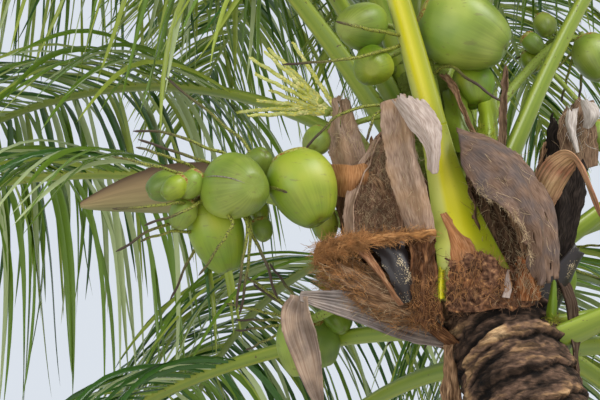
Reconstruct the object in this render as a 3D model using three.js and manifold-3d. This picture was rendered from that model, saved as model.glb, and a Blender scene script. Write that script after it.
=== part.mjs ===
// A young coconut palm with its fronds, fibre sheaths and bunches of green nuts.
// Millimetres, +Z up. The origin is the middle of the flat cut under the trunk, at ground level.
// The side towards -Y is the one that was cleared of low fronds, so the nuts show there.
import * as THREE from "three";
import { mergeVertices } from "three/addons/utils/BufferGeometryUtils.js";
import Module from "manifold-3d";

const wasm = await Module();
wasm.setup();

// Trunk
const AXIS_LENGTH = 4250; // from the ground to the growing tip, along the trunk
const LEAN_AT_FOOT = 23; // degrees from upright, towards -X
const LEAN_AT_TIP = 9;
const CROWN_START = 3020; // along the trunk, where the living leaf bases begin
const CROWN_TAPER = 2.6; // the crown's core stays thick and then narrows fast
const FOOT_FLARE = 85; // how far the root flare stands out at the ground
const FLARE_HEIGHT = 160;
const BOLE_RADIUS = 165;
const STEM_RADIUS = 142;
const TIP_RADIUS = 30;
const SCAR_SPACING = 130; // between the rings that fallen fronds leave
const SCAR_STEP = 6; // how far each ring stands out
const TRUNK_SIDES = 14;
const CROWN_RINGS = 5;

// Fronds
const SEAT_DEPTH = 45; // how deep a limb's foot starts under the trunk's face
const PETIOLE_WIDTH = 84;
const BASE_EXTRA_WIDTH = 78; // how much wider the clasping base is
const BASE_FADE = 120;
const PETIOLE_DEPTH = 52;
const RIB_TIP = 9;
const RIB_TAPER = 0.8;
const KEEL_SHARE = 0.6; // width of the rib's underside
const RIB_STEPS = 7;
const RIB_CROWDING = 1.6; // packs the rib's steps towards its base
const BLADE_START = 0.24; // share of the frond's length that is bare petiole
const BLADE_END = 0.975;
const LEAFLET_PAIRS = 8;
const LEAFLET_LENGTH = 1080;
const LEAFLET_WIDTH = 120; // each blade stands for several real leaflets
const LEAFLET_THICKNESS = 12;
const LEAFLET_KNEE = 0.42; // share of a leaflet's length where it bends down
const LEAFLET_SUNK = 0.42; // how far out in the rib its root lies, as a share of the rib's width
const SPREAD_AT_FOOT = 64; // degrees between rib and leaflet
const SPREAD_AT_TIP = 24;
const LEAFLET_LIFT = 0.28; // how steeply a leaflet leaves the rib's upper side
const LIMP_LIFT = 0.35; // how much of that a limp leaflet loses
const LIMP_DROP = 1.5; // how steeply it hangs past its knee

// The view from the ground that bunches and husks are laid out by
const VIEW_TILT = 33; // degrees above level
const LENS = 75;
const FRAME_WIDTH = 36; // behind that lens
const PICTURE = { width: 600, height: 400 }; // pixels
const AIM_ALONG = 3400; // this point of the trunk's middle line ...
const AIM_SEEN = [472, 245, 3300]; // ... shows at this column and row, so far ahead of the eye

// Bunches
const STALK_STEPS = 5;
const NUT_STALK = 11;
const NUTS_FROM = 0.4; // share of the stalk that is bare below its first nut
const TWIGS_FROM = 0.72; // and below its first flower branch
const STALK_END = 0.98;
const TWIG_FOOT = 7;
const NUT_RIDGE = 0.05;
const NUT_TAPER = 0.14; // how much narrower a nut is at its tip than at its middle
const LARGE_NUT = 115; // nuts longer than this get more faces

// Sheaths
const CLOTH = 12;
const TEARS = 9.5; // waves in a torn edge, as an angle over the sheath's width

// Clearances
const GAP = 0.5; // between neighbouring solids
const SAFE = 1.5; // least distance kept by a leaflet from everything else

const UP = new THREE.Vector3(0, 0, 1);
const rad = THREE.MathUtils.degToRad;
const mix = THREE.MathUtils.lerp;
const v = (x, y, z) => new THREE.Vector3(x, y, z);

const paint = (color, roughness) => new THREE.MeshStandardMaterial({ color, roughness, metalness: 0 });
const BARK = paint("#6b5540", 0.9);
const GREEN_LEAF = paint("#5f8a32", 0.55);
const NUT_GREEN = paint("#94b534", 0.35);
const FIBRE = paint("#8f6a4a", 0.95);
const DRY_HUSK = paint("#9b8168", 0.75);
const CREAM = paint("#c9c96a", 0.6);

// Solids from three.js geometries

function solidOf(geometry) {
  const bare = geometry.index ? geometry.toNonIndexed() : geometry.clone();
  bare.deleteAttribute("normal");
  bare.deleteAttribute("uv");
  const merged = mergeVertices(bare, 1e-3);
  const triVerts = new Uint32Array(merged.index.array);
  const make = () =>
    new wasm.Manifold(
      new wasm.Mesh({ numProp: 3, vertProperties: merged.attributes.position.array, triVerts }),
    );
  const solid = make();
  if (solid.volume() >= 0) return solid;
  for (let i = 0; i < triVerts.length; i += 3)
    [triVerts[i + 1], triVerts[i + 2]] = [triVerts[i + 2], triVerts[i + 1]];
  return make();
}

// Moves every vertex of a geometry to place(x, y, z).
function reshape(geometry, place) {
  const position = geometry.attributes.position;
  for (let i = 0; i < position.count; i++) {
    const p = place(position.getX(i), position.getY(i), position.getZ(i));
    position.setXYZ(i, p.x, p.y, p.z);
  }
  return solidOf(geometry);
}

function largest(solid) {
  const bodies = solid.decompose();
  return bodies.reduce((a, b) => (b.volume() > a.volume() ? b : a));
}

function boxesMeet(a, b, margin) {
  const p = a.boundingBox();
  const q = b.boundingBox();
  return [0, 1, 2].every((k) => p.min[k] - margin < q.max[k] && q.min[k] - margin < p.max[k]);
}

function meshOf(name, solid, material) {
  const made = solid.getMesh();
  const n = made.numProp;
  const position = new Float32Array(made.numVert * 3);
  for (let i = 0; i < made.numVert; i++)
    position.set(made.vertProperties.subarray(i * n, i * n + 3), i * 3);
  const geometry = new THREE.BufferGeometry()
    .setAttribute("position", new THREE.BufferAttribute(position, 3))
    .setIndex(new THREE.BufferAttribute(made.triVerts, 1));
  const mesh = new THREE.Mesh(geometry, material);
  mesh.name = name;
  return mesh;
}

// A seeded run of numbers from 0 to 1.
function dice(seed) {
  let state = seed;
  return () => {
    state = (state * 16807) % 2147483647;
    return state / 2147483647;
  };
}

const evenly = (count, from, to) =>
  Array.from({ length: count }, (_, i) => mix(from, to, count > 1 ? i / (count - 1) : 0));

// The trunk's line and thickness

const LEAN_RATE = rad(LEAN_AT_TIP - LEAN_AT_FOOT) / AXIS_LENGTH;

function trunkPoint(s) {
  const foot = rad(LEAN_AT_FOOT);
  const lean = foot + LEAN_RATE * s;
  return v(
    -(Math.cos(foot) - Math.cos(lean)) / LEAN_RATE,
    0,
    (Math.sin(lean) - Math.sin(foot)) / LEAN_RATE,
  );
}

function trunkRadius(s) {
  if (s < CROWN_START) {
    const flare = FOOT_FLARE * Math.exp(-s / FLARE_HEIGHT);
    return mix(BOLE_RADIUS, STEM_RADIUS, s / CROWN_START) + flare;
  }
  const u = (s - CROWN_START) / (AXIS_LENGTH - CROWN_START);
  return mix(STEM_RADIUS, TIP_RADIUS, u ** CROWN_TAPER);
}

function aroundTrunk(s, degrees, radius) {
  const a = rad(degrees);
  return trunkPoint(s).add(v(Math.cos(a) * radius, Math.sin(a) * radius, 0));
}

// Ring scars are level steps. Every second ring of vertices stands out.
function trunkSolid(extra) {
  const rings = Math.round(CROWN_START / SCAR_SPACING);
  const steps = rings + CROWN_RINGS;
  const along = (k) =>
    k <= rings
      ? (k / rings) * CROWN_START
      : mix(CROWN_START, AXIS_LENGTH, (k - rings) / CROWN_RINGS);
  return reshape(new THREE.CylinderGeometry(1, 1, 1, TRUNK_SIDES, steps), (x, y, z) => {
    const k = Math.round((y + 0.5) * steps);
    const scar = k <= rings && k % 2 === 1 ? SCAR_STEP : 0;
    const radius = trunkRadius(along(k)) + scar + extra;
    return trunkPoint(along(k)).add(v(z * radius, x * radius, 0));
  });
}

// A limb's line: it leaves its seat at one lean from upright and ends at another.

function arc(start, azimuth, lean, droop, length, power) {
  const a = rad(azimuth);
  const pieces = 48;
  const leanAt = (t) => rad(mix(lean, droop, t ** power));
  const alongAt = (t) =>
    v(Math.sin(leanAt(t)) * Math.cos(a), Math.sin(leanAt(t)) * Math.sin(a), Math.cos(leanAt(t)));
  const points = [start.clone()];
  for (let i = 0; i < pieces; i++)
    points.push(points[i].clone().addScaledVector(alongAt((i + 0.5) / pieces), length / pieces));
  const across = v(-Math.sin(a), Math.cos(a), 0);
  return {
    length,
    across,
    alongAt,
    topAt: (t) => across.clone().cross(alongAt(t)).negate(),
    pointAt: (t) => {
      const k = Math.min(pieces - 1, Math.floor(t * pieces));
      return points[k].clone().lerp(points[k + 1], t * pieces - k);
    },
  };
}

function limb({ seat, azimuth, lean, droop, length, power }) {
  const foot = aroundTrunk(seat, azimuth, trunkRadius(seat) - SEAT_DEPTH);
  return arc(foot, azimuth, lean, droop, length + SEAT_DEPTH, power);
}

// Fronds

function ribWidth(x, leaf) {
  const taper = mix(PETIOLE_WIDTH, RIB_TIP, (x / leaf.length) ** RIB_TAPER);
  const clasp = (BASE_EXTRA_WIDTH * trunkRadius(leaf.seat)) / STEM_RADIUS;
  return taper + clasp * Math.exp(-x / BASE_FADE);
}

function ribDepth(x, leaf) {
  return mix(PETIOLE_DEPTH, RIB_TIP, (x / leaf.length) ** RIB_TAPER);
}

// Where the faceted rib's middle lies, between two of its steps.
function ribPoint(leaf, t) {
  const k = Math.min(RIB_STEPS - 1, Math.floor(RIB_STEPS * t ** (1 / RIB_CROWDING)));
  const [from, to] = [k, k + 1].map((step) => (step / RIB_STEPS) ** RIB_CROWDING);
  return leaf.pointAt(from).lerp(leaf.pointAt(to), (t - from) / (to - from));
}

// The rib is broader above than below, and starts inside the trunk.
function ribSolid(leaf, extra, share = 1, steps = RIB_STEPS) {
  return reshape(new THREE.BoxGeometry(1, 1, 1, 1, steps, 1), (x, y, z) => {
    const t = share * (y + 0.5) ** RIB_CROWDING;
    const reach = t * leaf.length;
    const keel = z < 0 ? KEEL_SHARE : 1;
    return leaf
      .pointAt(t)
      .addScaledVector(leaf.across, x * keel * (ribWidth(reach, leaf) + 2 * extra))
      .addScaledVector(leaf.topAt(t), z * (ribDepth(reach, leaf) + 2 * extra));
  });
}

// Share of the longest leaflet at u, from the blade's foot at 0 to its tip at 1.
const leafletShare = (u) => Math.sin(Math.PI * mix(0.22, 0.9, u)) ** 0.8;

// One blade is pointed at both ends, with its root sunk in the rib. It leaves the rib
// sideways and bends down at its knee, more on a limp frond.
function leafletSolid(leaf, t, side, size) {
  const u = (t - BLADE_START) / (1 - BLADE_START);
  const spread = rad(mix(SPREAD_AT_FOOT, SPREAD_AT_TIP, u));
  const length = LEAFLET_LENGTH * leafletShare(u) * leaf.blade * size;
  const along = leaf.alongAt(t);
  const first = along
    .clone()
    .multiplyScalar(Math.cos(spread))
    .addScaledVector(leaf.across, side * Math.sin(spread))
    .addScaledVector(leaf.topAt(t), LEAFLET_LIFT)
    .addScaledVector(UP, -LIMP_LIFT * leaf.limp)
    .normalize();
  const second = first.clone().addScaledVector(UP, -LIMP_DROP * leaf.limp).normalize();
  const sunk = LEAFLET_SUNK * ribWidth(t * leaf.length, leaf);
  const root = ribPoint(leaf, t).addScaledVector(leaf.across, -side * KEEL_SHARE * sunk);
  const knee = root.clone().addScaledVector(first, length * LEAFLET_KNEE);
  const stations = [root, knee, knee.clone().addScaledVector(second, length * (1 - LEAFLET_KNEE))];
  const broad = along.clone().addScaledVector(second, -along.dot(second)).normalize();
  const thick = broad.clone().cross(second);
  const width = LEAFLET_WIDTH * (0.45 + 0.55 * leafletShare(u));
  return reshape(new THREE.SphereGeometry(1, 3, 2), (x, y, z) =>
    stations[Math.round(y) + 1]
      .clone()
      .addScaledVector(broad, (z * width) / Math.sqrt(3))
      .addScaledVector(thick, (x * LEAFLET_THICKNESS) / 1.5),
  );
}

// Leaves of one ring round the trunk, evenly spread from one azimuth to another.
function ringOfLeaves(count, from, to, values) {
  return evenly(count, from, to).map((azimuth, i) => {
    const share = (i * 0.618) % 1;
    return {
      ...values,
      azimuth,
      seat: values.seat + share * values.rise,
      lean: values.lean + (share - 0.5) * 6,
    };
  });
}

// The oldest fronds hang lowest. None is left between 165 and 345 degrees, on the cleared side.
const OLD = { droop: 127, length: 4150, limp: 1, blade: 1, power: 1 };
const GROWN = { droop: 124, length: 4200, limp: 0.9, blade: 1, power: 1.1 };
const YOUNG = { droop: 106, length: 3700, limp: 0.7, blade: 0.9, power: 1.3 };
const LEAVES = [
  ...ringOfLeaves(6, -14, 108, { ...OLD, seat: 3085, rise: 95, lean: 70 }),
  { ...OLD, seat: 3180, azimuth: 131, lean: 68 },
  ...ringOfLeaves(4, 2, 110, { ...GROWN, seat: 3300, rise: 90, lean: 50 }),
  { ...GROWN, seat: 3360, azimuth: 150, lean: 49 },
  { ...GROWN, seat: 3600, azimuth: 142, lean: 38, limp: 0.8 },
  { seat: 3300, azimuth: 238, lean: 22, droop: 112, length: 4000, limp: 0.8, blade: 1, power: 1.4 },
  { seat: 3520, azimuth: 348, lean: 23, droop: 112, length: 4000, limp: 0.8, blade: 1, power: 1.5 },
  { seat: 3570, azimuth: 198, lean: 30, droop: 118, length: 4150, limp: 0.9, blade: 1, power: 1.4 },
  { seat: 3720, azimuth: 190, lean: 21, droop: 105, length: 4000, limp: 0.8, blade: 1, power: 1.4 },
  { seat: 3720, azimuth: 22, lean: 9, droop: 100, length: 3900, limp: 0.7, blade: 0.95, power: 1.4 },
  { seat: 3700, azimuth: 110, lean: 17, droop: 104, length: 3950, limp: 0.7, blade: 0.95, power: 1.4 },
  ...ringOfLeaves(5, 214, 502, { ...YOUNG, seat: 3880, rise: 90, lean: 21 }),
  { ...YOUNG, seat: 3960, azimuth: 320, lean: 13 },
  { ...YOUNG, seat: 4080, azimuth: 296, lean: 8, droop: 78, length: 3300, limp: 0.5, blade: 0.8 },
  { ...YOUNG, seat: 4080, azimuth: 92, lean: 6, droop: 60, length: 3000, limp: 0.4, blade: 0.75 },
].map((leaf) => ({ ...leaf, ...limb(leaf) }));

// Short stubs of the fronds that were cut from the cleared side.
const STUB_SHARE = 0.05;
const STUBS = [
  { seat: 3190, azimuth: 196, lean: 44 },
  { seat: 3150, azimuth: 322, lean: 44 },
].map((leaf) => ({ ...leaf, ...limb({ ...leaf, droop: 100, length: 4000, power: 1 }) }));

// Stalks, nuts and flower branches

// A stalk through a few points, thick at its start. A thin end of 0 is a point.
function stalkSolid(points, thick, thin, sides) {
  const steps = points.length - 1;
  return reshape(new THREE.CylinderGeometry(thin && 1, 1, 1, sides, steps), (x, y, z) => {
    const k = Math.round((y + 0.5) * steps);
    const along = points[Math.min(k + 1, steps)].clone().sub(points[Math.max(k - 1, 0)]).normalize();
    const pole = Math.abs(along.z) > 0.95 ? v(1, 0, 0) : UP;
    const across = pole.clone().cross(along).normalize();
    const radius = thin ? mix(thick, thin, k / steps) : thick;
    return points[k]
      .clone()
      .addScaledVector(across, x * radius)
      .addScaledVector(along.clone().cross(across), z * radius);
  });
}

// A nut is egg-shaped with three blunt ridges. It hangs by its broad end from its stalk.
function nutSolid(centre, tip, [length, width], extra) {
  const turn = new THREE.Quaternion().setFromUnitVectors(v(0, 1, 0), tip);
  const [around, down] = length > LARGE_NUT ? [7, 5] : [5, 4];
  return reshape(new THREE.SphereGeometry(1, around, down), (x, y, z) => {
    const ridge = 1 + NUT_RIDGE * Math.cos(3 * Math.atan2(z, x));
    const wide = (width / 2 + extra) * ridge * (1 - NUT_TAPER * y);
    return v(x * wide, y * (length / 2 + extra), z * wide).applyQuaternion(turn).add(centre);
  });
}

// Right, up and near, as a bunch is seen from the ground on the cleared side.
const LAY_UP = v(0, -Math.sin(rad(VIEW_TILT)), Math.cos(rad(VIEW_TILT)));
const LAY_NEAR = v(0, -Math.cos(rad(VIEW_TILT)), -Math.sin(rad(VIEW_TILT)));
const laid = ([right, up, near]) =>
  v(right, 0, 0).addScaledVector(LAY_UP, up).addScaledVector(LAY_NEAR, near);

const PIXEL = FRAME_WIDTH / LENS / PICTURE.width; // a pixel's width, as a share of the distance
const fromEye = (column, row, distance) =>
  laid([
    (column - PICTURE.width / 2) * PIXEL * distance,
    (PICTURE.height / 2 - row) * PIXEL * distance,
    -distance,
  ]);
const EYE = trunkPoint(AIM_ALONG).sub(fromEye(...AIM_SEEN));

// The place that shows at a column and row of the view, so many millimetres ahead of the eye.
const seen = (column, row, distance) => EYE.clone().add(fromEye(column, row, distance));

// The stalk rises from the leaf axil, passes its hub and ends past it, among the nuts.
function bunchLine({ seat, azimuth, hub, hump, tail }) {
  const start = aroundTrunk(seat, azimuth, trunkRadius(seat) - SEAT_DEPTH);
  const middle = start.clone().lerp(hub, 0.5).add(v(...hump));
  const line = new THREE.CatmullRomCurve3([start, middle, hub, hub.clone().add(laid(tail))]);
  return line.getPoints(STALK_STEPS);
}

// The point at share t of a line of straight pieces.
function alongLine(points, t) {
  const k = Math.min(points.length - 2, Math.floor(t * (points.length - 1)));
  return points[k].clone().lerp(points[k + 1], t * (points.length - 1) - k);
}

// Where a nut's own short stalk, or a flower branch, joins the main stalk.
const nearestOn = (line, point) =>
  evenly(15, NUTS_FROM, STALK_END)
    .map((t) => alongLine(line, t))
    .reduce((a, b) => (b.distanceTo(point) < a.distanceTo(point) ? b : a));

// A flower branch passes the places that it shows at.
const seenTwigs = (line, places) => places.map((points) => [nearestOn(line, points[0]), ...points]);

// Other flower branches fan out from the stalk's outer part at angles that go up from the right.
function fannedTwigs(line, { angles, reach, sag, depth, seed }) {
  const roll = dice(seed);
  return angles.map((angle) => {
    const start = alongLine(line, mix(TWIGS_FROM, STALK_END, roll()));
    const lean = [Math.cos(rad(angle)), Math.sin(rad(angle)), (roll() - 0.5) * depth];
    const away = laid(lean).multiplyScalar(reach * mix(0.85, 1.1, roll()));
    return [start, start.clone().add(away).addScaledVector(UP, -sag)];
  });
}

// Nuts and flower branches on one stalk.
function bunchSolid(bunch, extra) {
  const line = bunchLine(bunch);
  const parts = [stalkSolid(line, bunch.thick + extra, bunch.thick * 0.45 + extra, 5)];
  for (const { at, tip, size } of bunch.nuts) {
    const pointing = laid(tip).normalize();
    const heel = at.clone().addScaledVector(pointing, -size[0] * 0.3);
    parts.push(nutSolid(at, pointing, size, extra));
    parts.push(stalkSolid([nearestOn(line, heel), at], NUT_STALK + extra, 0, 3));
  }
  const twigs = bunch.fan ? fannedTwigs(line, bunch.fan) : seenTwigs(line, bunch.twigs);
  for (const twig of twigs) parts.push(stalkSolid(twig, TWIG_FOOT + extra, 0, 3));
  return wasm.Manifold.union(parts);
}

// Nuts packed evenly round the end of a stalk, the lowest last.
function packedNuts(hub, count, size, seed) {
  const roll = dice(seed);
  return evenly(count, 0, 2.4 * (count - 1)).map((turn, i) => {
    const grown = mix(0.82, 1.08, roll());
    const out = size * 0.55;
    const off = [Math.cos(turn) * out, mix(60, -150, i / (count - 1)), Math.sin(turn) * out];
    return {
      at: hub.clone().add(laid(off)),
      tip: [Math.cos(turn) * 0.6, -1, Math.sin(turn) * 0.6],
      size: [size * grown, size * grown * 0.82],
    };
  });
}

const BACK_HUB = v(-1030, 450, 3450);
const SIDE_HUB = v(-770, 340, 3450);
const BUNCHES = {
  bunch_main: {
    seat: 3420, azimuth: 200, hub: seen(235, 190, 3170), hump: [0, 0, 70], tail: [-75, -10, 40], thick: 22,
    nuts: [
      { at: seen(303, 189, 3120), size: [205, 168], tip: [0.4, -0.9, 0.3] },
      { at: seen(236, 187, 3060), size: [185, 162], tip: [0.35, -0.05, 0.95] },
      { at: seen(215, 236, 3140), size: [225, 138], tip: [0.3, -0.95, 0.1] },
      { at: seen(257, 164, 3220), size: [98, 82], tip: [0.4, 0.5, 0.5] },
      { at: seen(190, 185, 3050), size: [80, 64], tip: [-0.4, -0.6, 0.5] },
      { at: seen(164, 186, 3120), size: [95, 78], tip: [-0.7, -0.3, 0.4] },
      { at: seen(182, 214, 3070), size: [85, 68], tip: [-0.3, -0.8, 0.4] },
      { at: seen(325, 226, 3220), size: [85, 66], tip: [0.1, -0.95, 0] },
    ],
    twigs: [
      [seen(205, 118, 3220), seen(165, 78, 3250)],
      [seen(190, 137, 3150), seen(135, 128, 3120)],
      [seen(175, 153, 3120), seen(137, 140, 3100)],
      [seen(170, 158, 3080), seen(120, 150, 3050)],
      [seen(165, 170, 3020), seen(110, 156, 3000)],
      [seen(175, 212, 3020), seen(143, 226, 3000)],
      [seen(175, 232, 3100), seen(140, 242, 3080)],
      [seen(160, 236, 3080), seen(116, 252, 3050)],
      [seen(190, 268, 3180), seen(171, 300, 3200)],
      [seen(225, 242, 3030), seen(199, 276, 3020)],
      [seen(243, 262, 3060), seen(235, 310, 3050)],
      [seen(248, 270, 3100), seen(239, 315, 3100)],
      [seen(264, 258, 3100), seen(277, 299, 3120)],
      [seen(262, 198, 3080), seen(268, 183, 2980), seen(287, 191, 2950)],
    ],
  },
  bunch_axil: {
    seat: 3540, azimuth: 245, hub: seen(428, 60, 3400), hump: [0, -20, 0], tail: [-20, 60, 10], thick: 20,
    nuts: [
      { at: seen(316, 142, 3300), size: [92, 76], tip: [-0.2, -0.5, 0.8] },
      { at: seen(361, 26, 3300), size: [155, 126], tip: [-0.6, -0.2, 0.7] },
      { at: seen(373, 66, 3280), size: [122, 106], tip: [-0.1, -0.2, 0.95] },
      { at: seen(464, 32, 3370), size: [262, 206], tip: [0.85, -0.4, 0.2] },
      { at: seen(473, 86, 3420), size: [134, 116], tip: [0.1, -0.85, 0.5] },
    ],
    twigs: [
      [seen(345, 112, 3220), seen(306, 148, 3200)],
      [seen(350, 58, 3160), seen(282, 63, 3130)],
      [seen(378, 112, 3210), seen(368, 140, 3190)],
      [seen(462, 80, 3220), seen(497, 99, 3180)],
      [seen(365, 28, 3180), seen(336, 20, 3150)],
    ],
  },
  bunch_right: {
    seat: 3650, azimuth: 305, hub: seen(565, 40, 3750), hump: [0, 0, 40], tail: [90, 0, 20], thick: 18,
    nuts: [
      { at: seen(545, 26, 3750), size: [80, 70], tip: [0.1, -0.6, 0.6] },
      { at: seen(533, 44, 3720), size: [78, 58], tip: [0.6, -0.6, 0.3] },
      { at: seen(531, 62, 3750), size: [74, 60], tip: [0.2, -0.8, 0.4] },
      { at: seen(549, 60, 3800), size: [76, 64], tip: [0.3, -0.7, 0.5] },
      { at: seen(594, 58, 3720), size: [150, 125], tip: [0.3, -0.8, 0.3] },
      { at: seen(600, 136, 3660), size: [95, 80], tip: [0.2, -0.8, 0.4] },
    ],
    fan: { angles: evenly(6, 195, 330), reach: 190, sag: 20, depth: 0.6, seed: 8 },
  },
  bunch_low: {
    seat: 3270, azimuth: 168, hub: seen(315, 318, 3500), hump: [0, 0, 60], tail: [-50, -10, 0], thick: 20,
    nuts: [
      { at: seen(297, 347, 3450), size: [170, 118], tip: [0.1, -0.98, 0.1] },
      { at: seen(330, 350, 3600), size: [150, 120], tip: [0.2, -0.9, -0.2] },
      { at: seen(345, 322, 3550), size: [110, 95], tip: [0.3, -0.6, 0.5] },
    ],
    fan: { angles: evenly(7, 140, 250), reach: 270, sag: 30, depth: 0.8, seed: 3 },
  },
  bunch_back: {
    seat: 3480, azimuth: 95, hub: BACK_HUB, hump: [0, 0, 80], tail: [0, -110, -30], thick: 22,
    nuts: packedNuts(BACK_HUB, 5, 170, 21),
    fan: { angles: evenly(6, 200, 340), reach: 230, sag: 40, depth: 1.6, seed: 9 },
  },
  bunch_side: {
    seat: 3520, azimuth: 48, hub: SIDE_HUB, hump: [0, 0, 80], tail: [30, -100, -20], thick: 20,
    nuts: packedNuts(SIDE_HUB, 5, 150, 33),
    fan: { angles: evenly(6, 220, 380), reach: 220, sag: 40, depth: 1.6, seed: 4 },
  },
  flowers_young: {
    seat: 3530, azimuth: 172, hub: seen(345, 120, 3420), hump: [0, 55, 20], tail: [-60, 40, 0], thick: 15,
    nuts: [],
    fan: { angles: evenly(9, 92, 190), reach: 240, sag: 10, depth: 0.5, seed: 17 },
  },
};

// Spathes, husks and sheaths

// A dry husk or strip: a long plate, pointed at its far end, hollowed across its width.
function huskSolid({ line, width, hollow, thickness, face, foot = 0.25 }) {
  const curve = new THREE.CatmullRomCurve3(line);
  return reshape(new THREE.BoxGeometry(1, 1, 1, 2, 6, 1), (x, y, z) => {
    const t = y + 0.5;
    const along = curve.getTangent(t);
    const normal = face.clone().addScaledVector(along, -face.dot(along)).normalize();
    const across = along.clone().cross(normal);
    const swell = Math.max(foot * (1 - t), Math.sin(Math.PI * mix(0.12, 0.985, t)) ** 0.8);
    const bow = (4 * x * x - 0.5) * hollow * swell;
    return curve
      .getPoint(t)
      .addScaledVector(across, x * width * swell)
      .addScaledVector(normal, bow + z * thickness);
  });
}

const LOW_HUSK_END = seen(300, 296, 3000);
const HUSKS = {
  spathe_main: {
    line: [
      alongLine(bunchLine(BUNCHES.bunch_main), 0.6),
      seen(215, 187, 3300),
      seen(150, 190, 3300),
      seen(80, 205, 3250),
    ],
    width: 130, hollow: 45, thickness: 8, face: v(0, 0.6, 0.8),
  },
  husk_low: {
    line: [seen(470, 342, 3180), seen(415, 325, 3120), seen(360, 304, 3050), LOW_HUSK_END],
    width: 60, hollow: 12, thickness: 16, face: v(0, -0.9, -0.4), foot: 0.7,
  },
  husk_hanging: {
    line: [LOW_HUSK_END, seen(294, 318, 2990), seen(306, 362, 2980), seen(330, 410, 2970)],
    width: 115, hollow: 25, thickness: 8, face: v(-0.3, -1, 0), foot: 0.6,
  },
  husk_right: {
    line: [seen(538, 245, 3200), seen(548, 185, 3150), seen(573, 158, 3100), seen(602, 216, 3080)],
    width: 80, hollow: 12, thickness: 8, face: v(0.5, -0.4, 0.8), foot: 0.6,
  },
  husk_trailing: {
    line: [seen(548, 258, 3130), seen(566, 290, 3100), seen(574, 330, 3100), seen(577, 378, 3100)],
    width: 55, hollow: 10, thickness: 8, face: v(0.6, -0.8, 0.1), foot: 0.6,
  },
};

// A torn sheet of leaf-sheath fibre, wrapped round the trunk and flaring out at its top.
function sheathSolid(sheath, extra) {
  const { from, to, low, high, flare, curl = 1.5, ragged = 40, thickness = CLOTH } = sheath;
  const foot = trunkRadius(low) + (thickness - CLOTH) / 2;
  const widen = THREE.MathUtils.radToDeg(extra / foot);
  return reshape(new THREE.BoxGeometry(1, 1, 1, 4, 3, 1), (x, y, z) => {
    const u = x + 0.5;
    const w = y + 0.5;
    const s = mix(low - extra, high + extra, w) + w * ragged * Math.sin(u * TEARS + from);
    const radius = foot + flare * w ** curl + z * (thickness + 2 * extra);
    return aroundTrunk(s, mix(from - widen, to + widen, u), radius);
  });
}

// The low shelf of torn fibre on the left comes first, and the collar under the live leaves last.
const SHEATHS = [
  { from: 168, to: 203, low: 3070, high: 3330, flare: 290, curl: 1 },
  { from: 178, to: 222, low: 3160, high: 3590, flare: 230 },
  { from: 206, to: 238, low: 3240, high: 3680, flare: 150 },
  { from: 266, to: 320, low: 3190, high: 3620, flare: 100 },
  { from: 322, to: 374, low: 3250, high: 3660, flare: 170 },
  { from: 20, to: 76, low: 3420, high: 3800, flare: 70 },
  { from: 84, to: 128, low: 3420, high: 3800, flare: 70 },
  { from: 134, to: 172, low: 3400, high: 3780, flare: 80 },
  { from: 212, to: 298, low: 3045, high: 3290, flare: 20, ragged: 12, thickness: 34 },
];

// Putting the tree together

const trunk = trunkSolid(0);
const clearances = [trunkSolid(GAP)];
const built = [["trunk", trunk, BARK]];

// Cuts a solid back from everything that already stands, and keeps its main body.
function seated(solid) {
  let made = solid;
  for (const other of clearances) if (boxesMeet(made, other, 0)) made = made.subtract(other);
  return largest(made);
}

// Whether a solid keeps its distance from everything built, apart from its own node.
const clearOfAll = (solid, own) =>
  built.every(
    ([name, other]) =>
      name === own || !boxesMeet(solid, other, SAFE) || solid.minGap(other, SAFE) >= SAFE,
  );

function place(name, material, shape) {
  built.push([name, seated(shape(0)), material]);
  clearances.push(shape(GAP));
}

const frondName = (i) => `frond_${String(i + 1).padStart(2, "0")}`;

LEAVES.forEach((leaf, i) => place(frondName(i), GREEN_LEAF, (extra) => ribSolid(leaf, extra)));
STUBS.forEach((leaf, i) =>
  place(`old_base_${i + 1}`, DRY_HUSK, (extra) => ribSolid(leaf, extra, STUB_SHARE, 2)),
);
for (const [name, bunch] of Object.entries(BUNCHES)) {
  const material = bunch.nuts.length ? NUT_GREEN : CREAM;
  place(name, material, (extra) => bunchSolid(bunch, extra));
}
for (const [name, husk] of Object.entries(HUSKS))
  place(name, DRY_HUSK, (extra) =>
    huskSolid({ ...husk, width: husk.width + 2 * extra, thickness: husk.thickness + 2 * extra }),
  );
SHEATHS.forEach((sheath, i) =>
  place(`sheath_${i + 1}`, FIBRE, (extra) => sheathSolid(sheath, extra)),
);

// The youngest leaf is still a closed spear on the trunk's tip.
const SPEAR = { seat: 4200, azimuth: 200, lean: 4, droop: 10, length: 1500, power: 1 };
const spearLine = arc(trunkPoint(SPEAR.seat), SPEAR.azimuth, SPEAR.lean, SPEAR.droop, SPEAR.length, 1);
place("spear", GREEN_LEAF, (extra) =>
  stalkSolid([0, 0.35, 0.7, 1].map(spearLine.pointAt), 24 + extra, 3 + extra, 6),
);

// Leaflets come last. One that would touch a neighbour is shortened, or else left off.
LEAVES.forEach((leaf, i) => {
  const entry = built.find(([name]) => name === frondName(i));
  const blades = [];
  for (const t of evenly(LEAFLET_PAIRS, BLADE_START, BLADE_END))
    for (const side of [-1, 1]) {
      const blade = [1, 0.8, 0.6]
        .map((size) => leafletSolid(leaf, t, side, size))
        .find((solid) => clearOfAll(solid, frondName(i)));
      if (blade) blades.push(blade);
    }
  entry[1] = largest(wasm.Manifold.union([entry[1], ...blades]));
});

const root = new THREE.Group();
for (const [name, solid, material] of built) root.add(meshOf(name, solid, material));

export default root;
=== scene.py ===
"""A young coconut palm with its fronds, fibre sheaths, husks and bunches of green nuts.

Metres, +Z up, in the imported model's own frame. The nuts hang on the side towards -Y, which was
cleared of its low fronds. Every rule that places a limb is the one the solids were made by.
"""
import math

import bpy
import numpy as np
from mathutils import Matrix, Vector, noise


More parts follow.
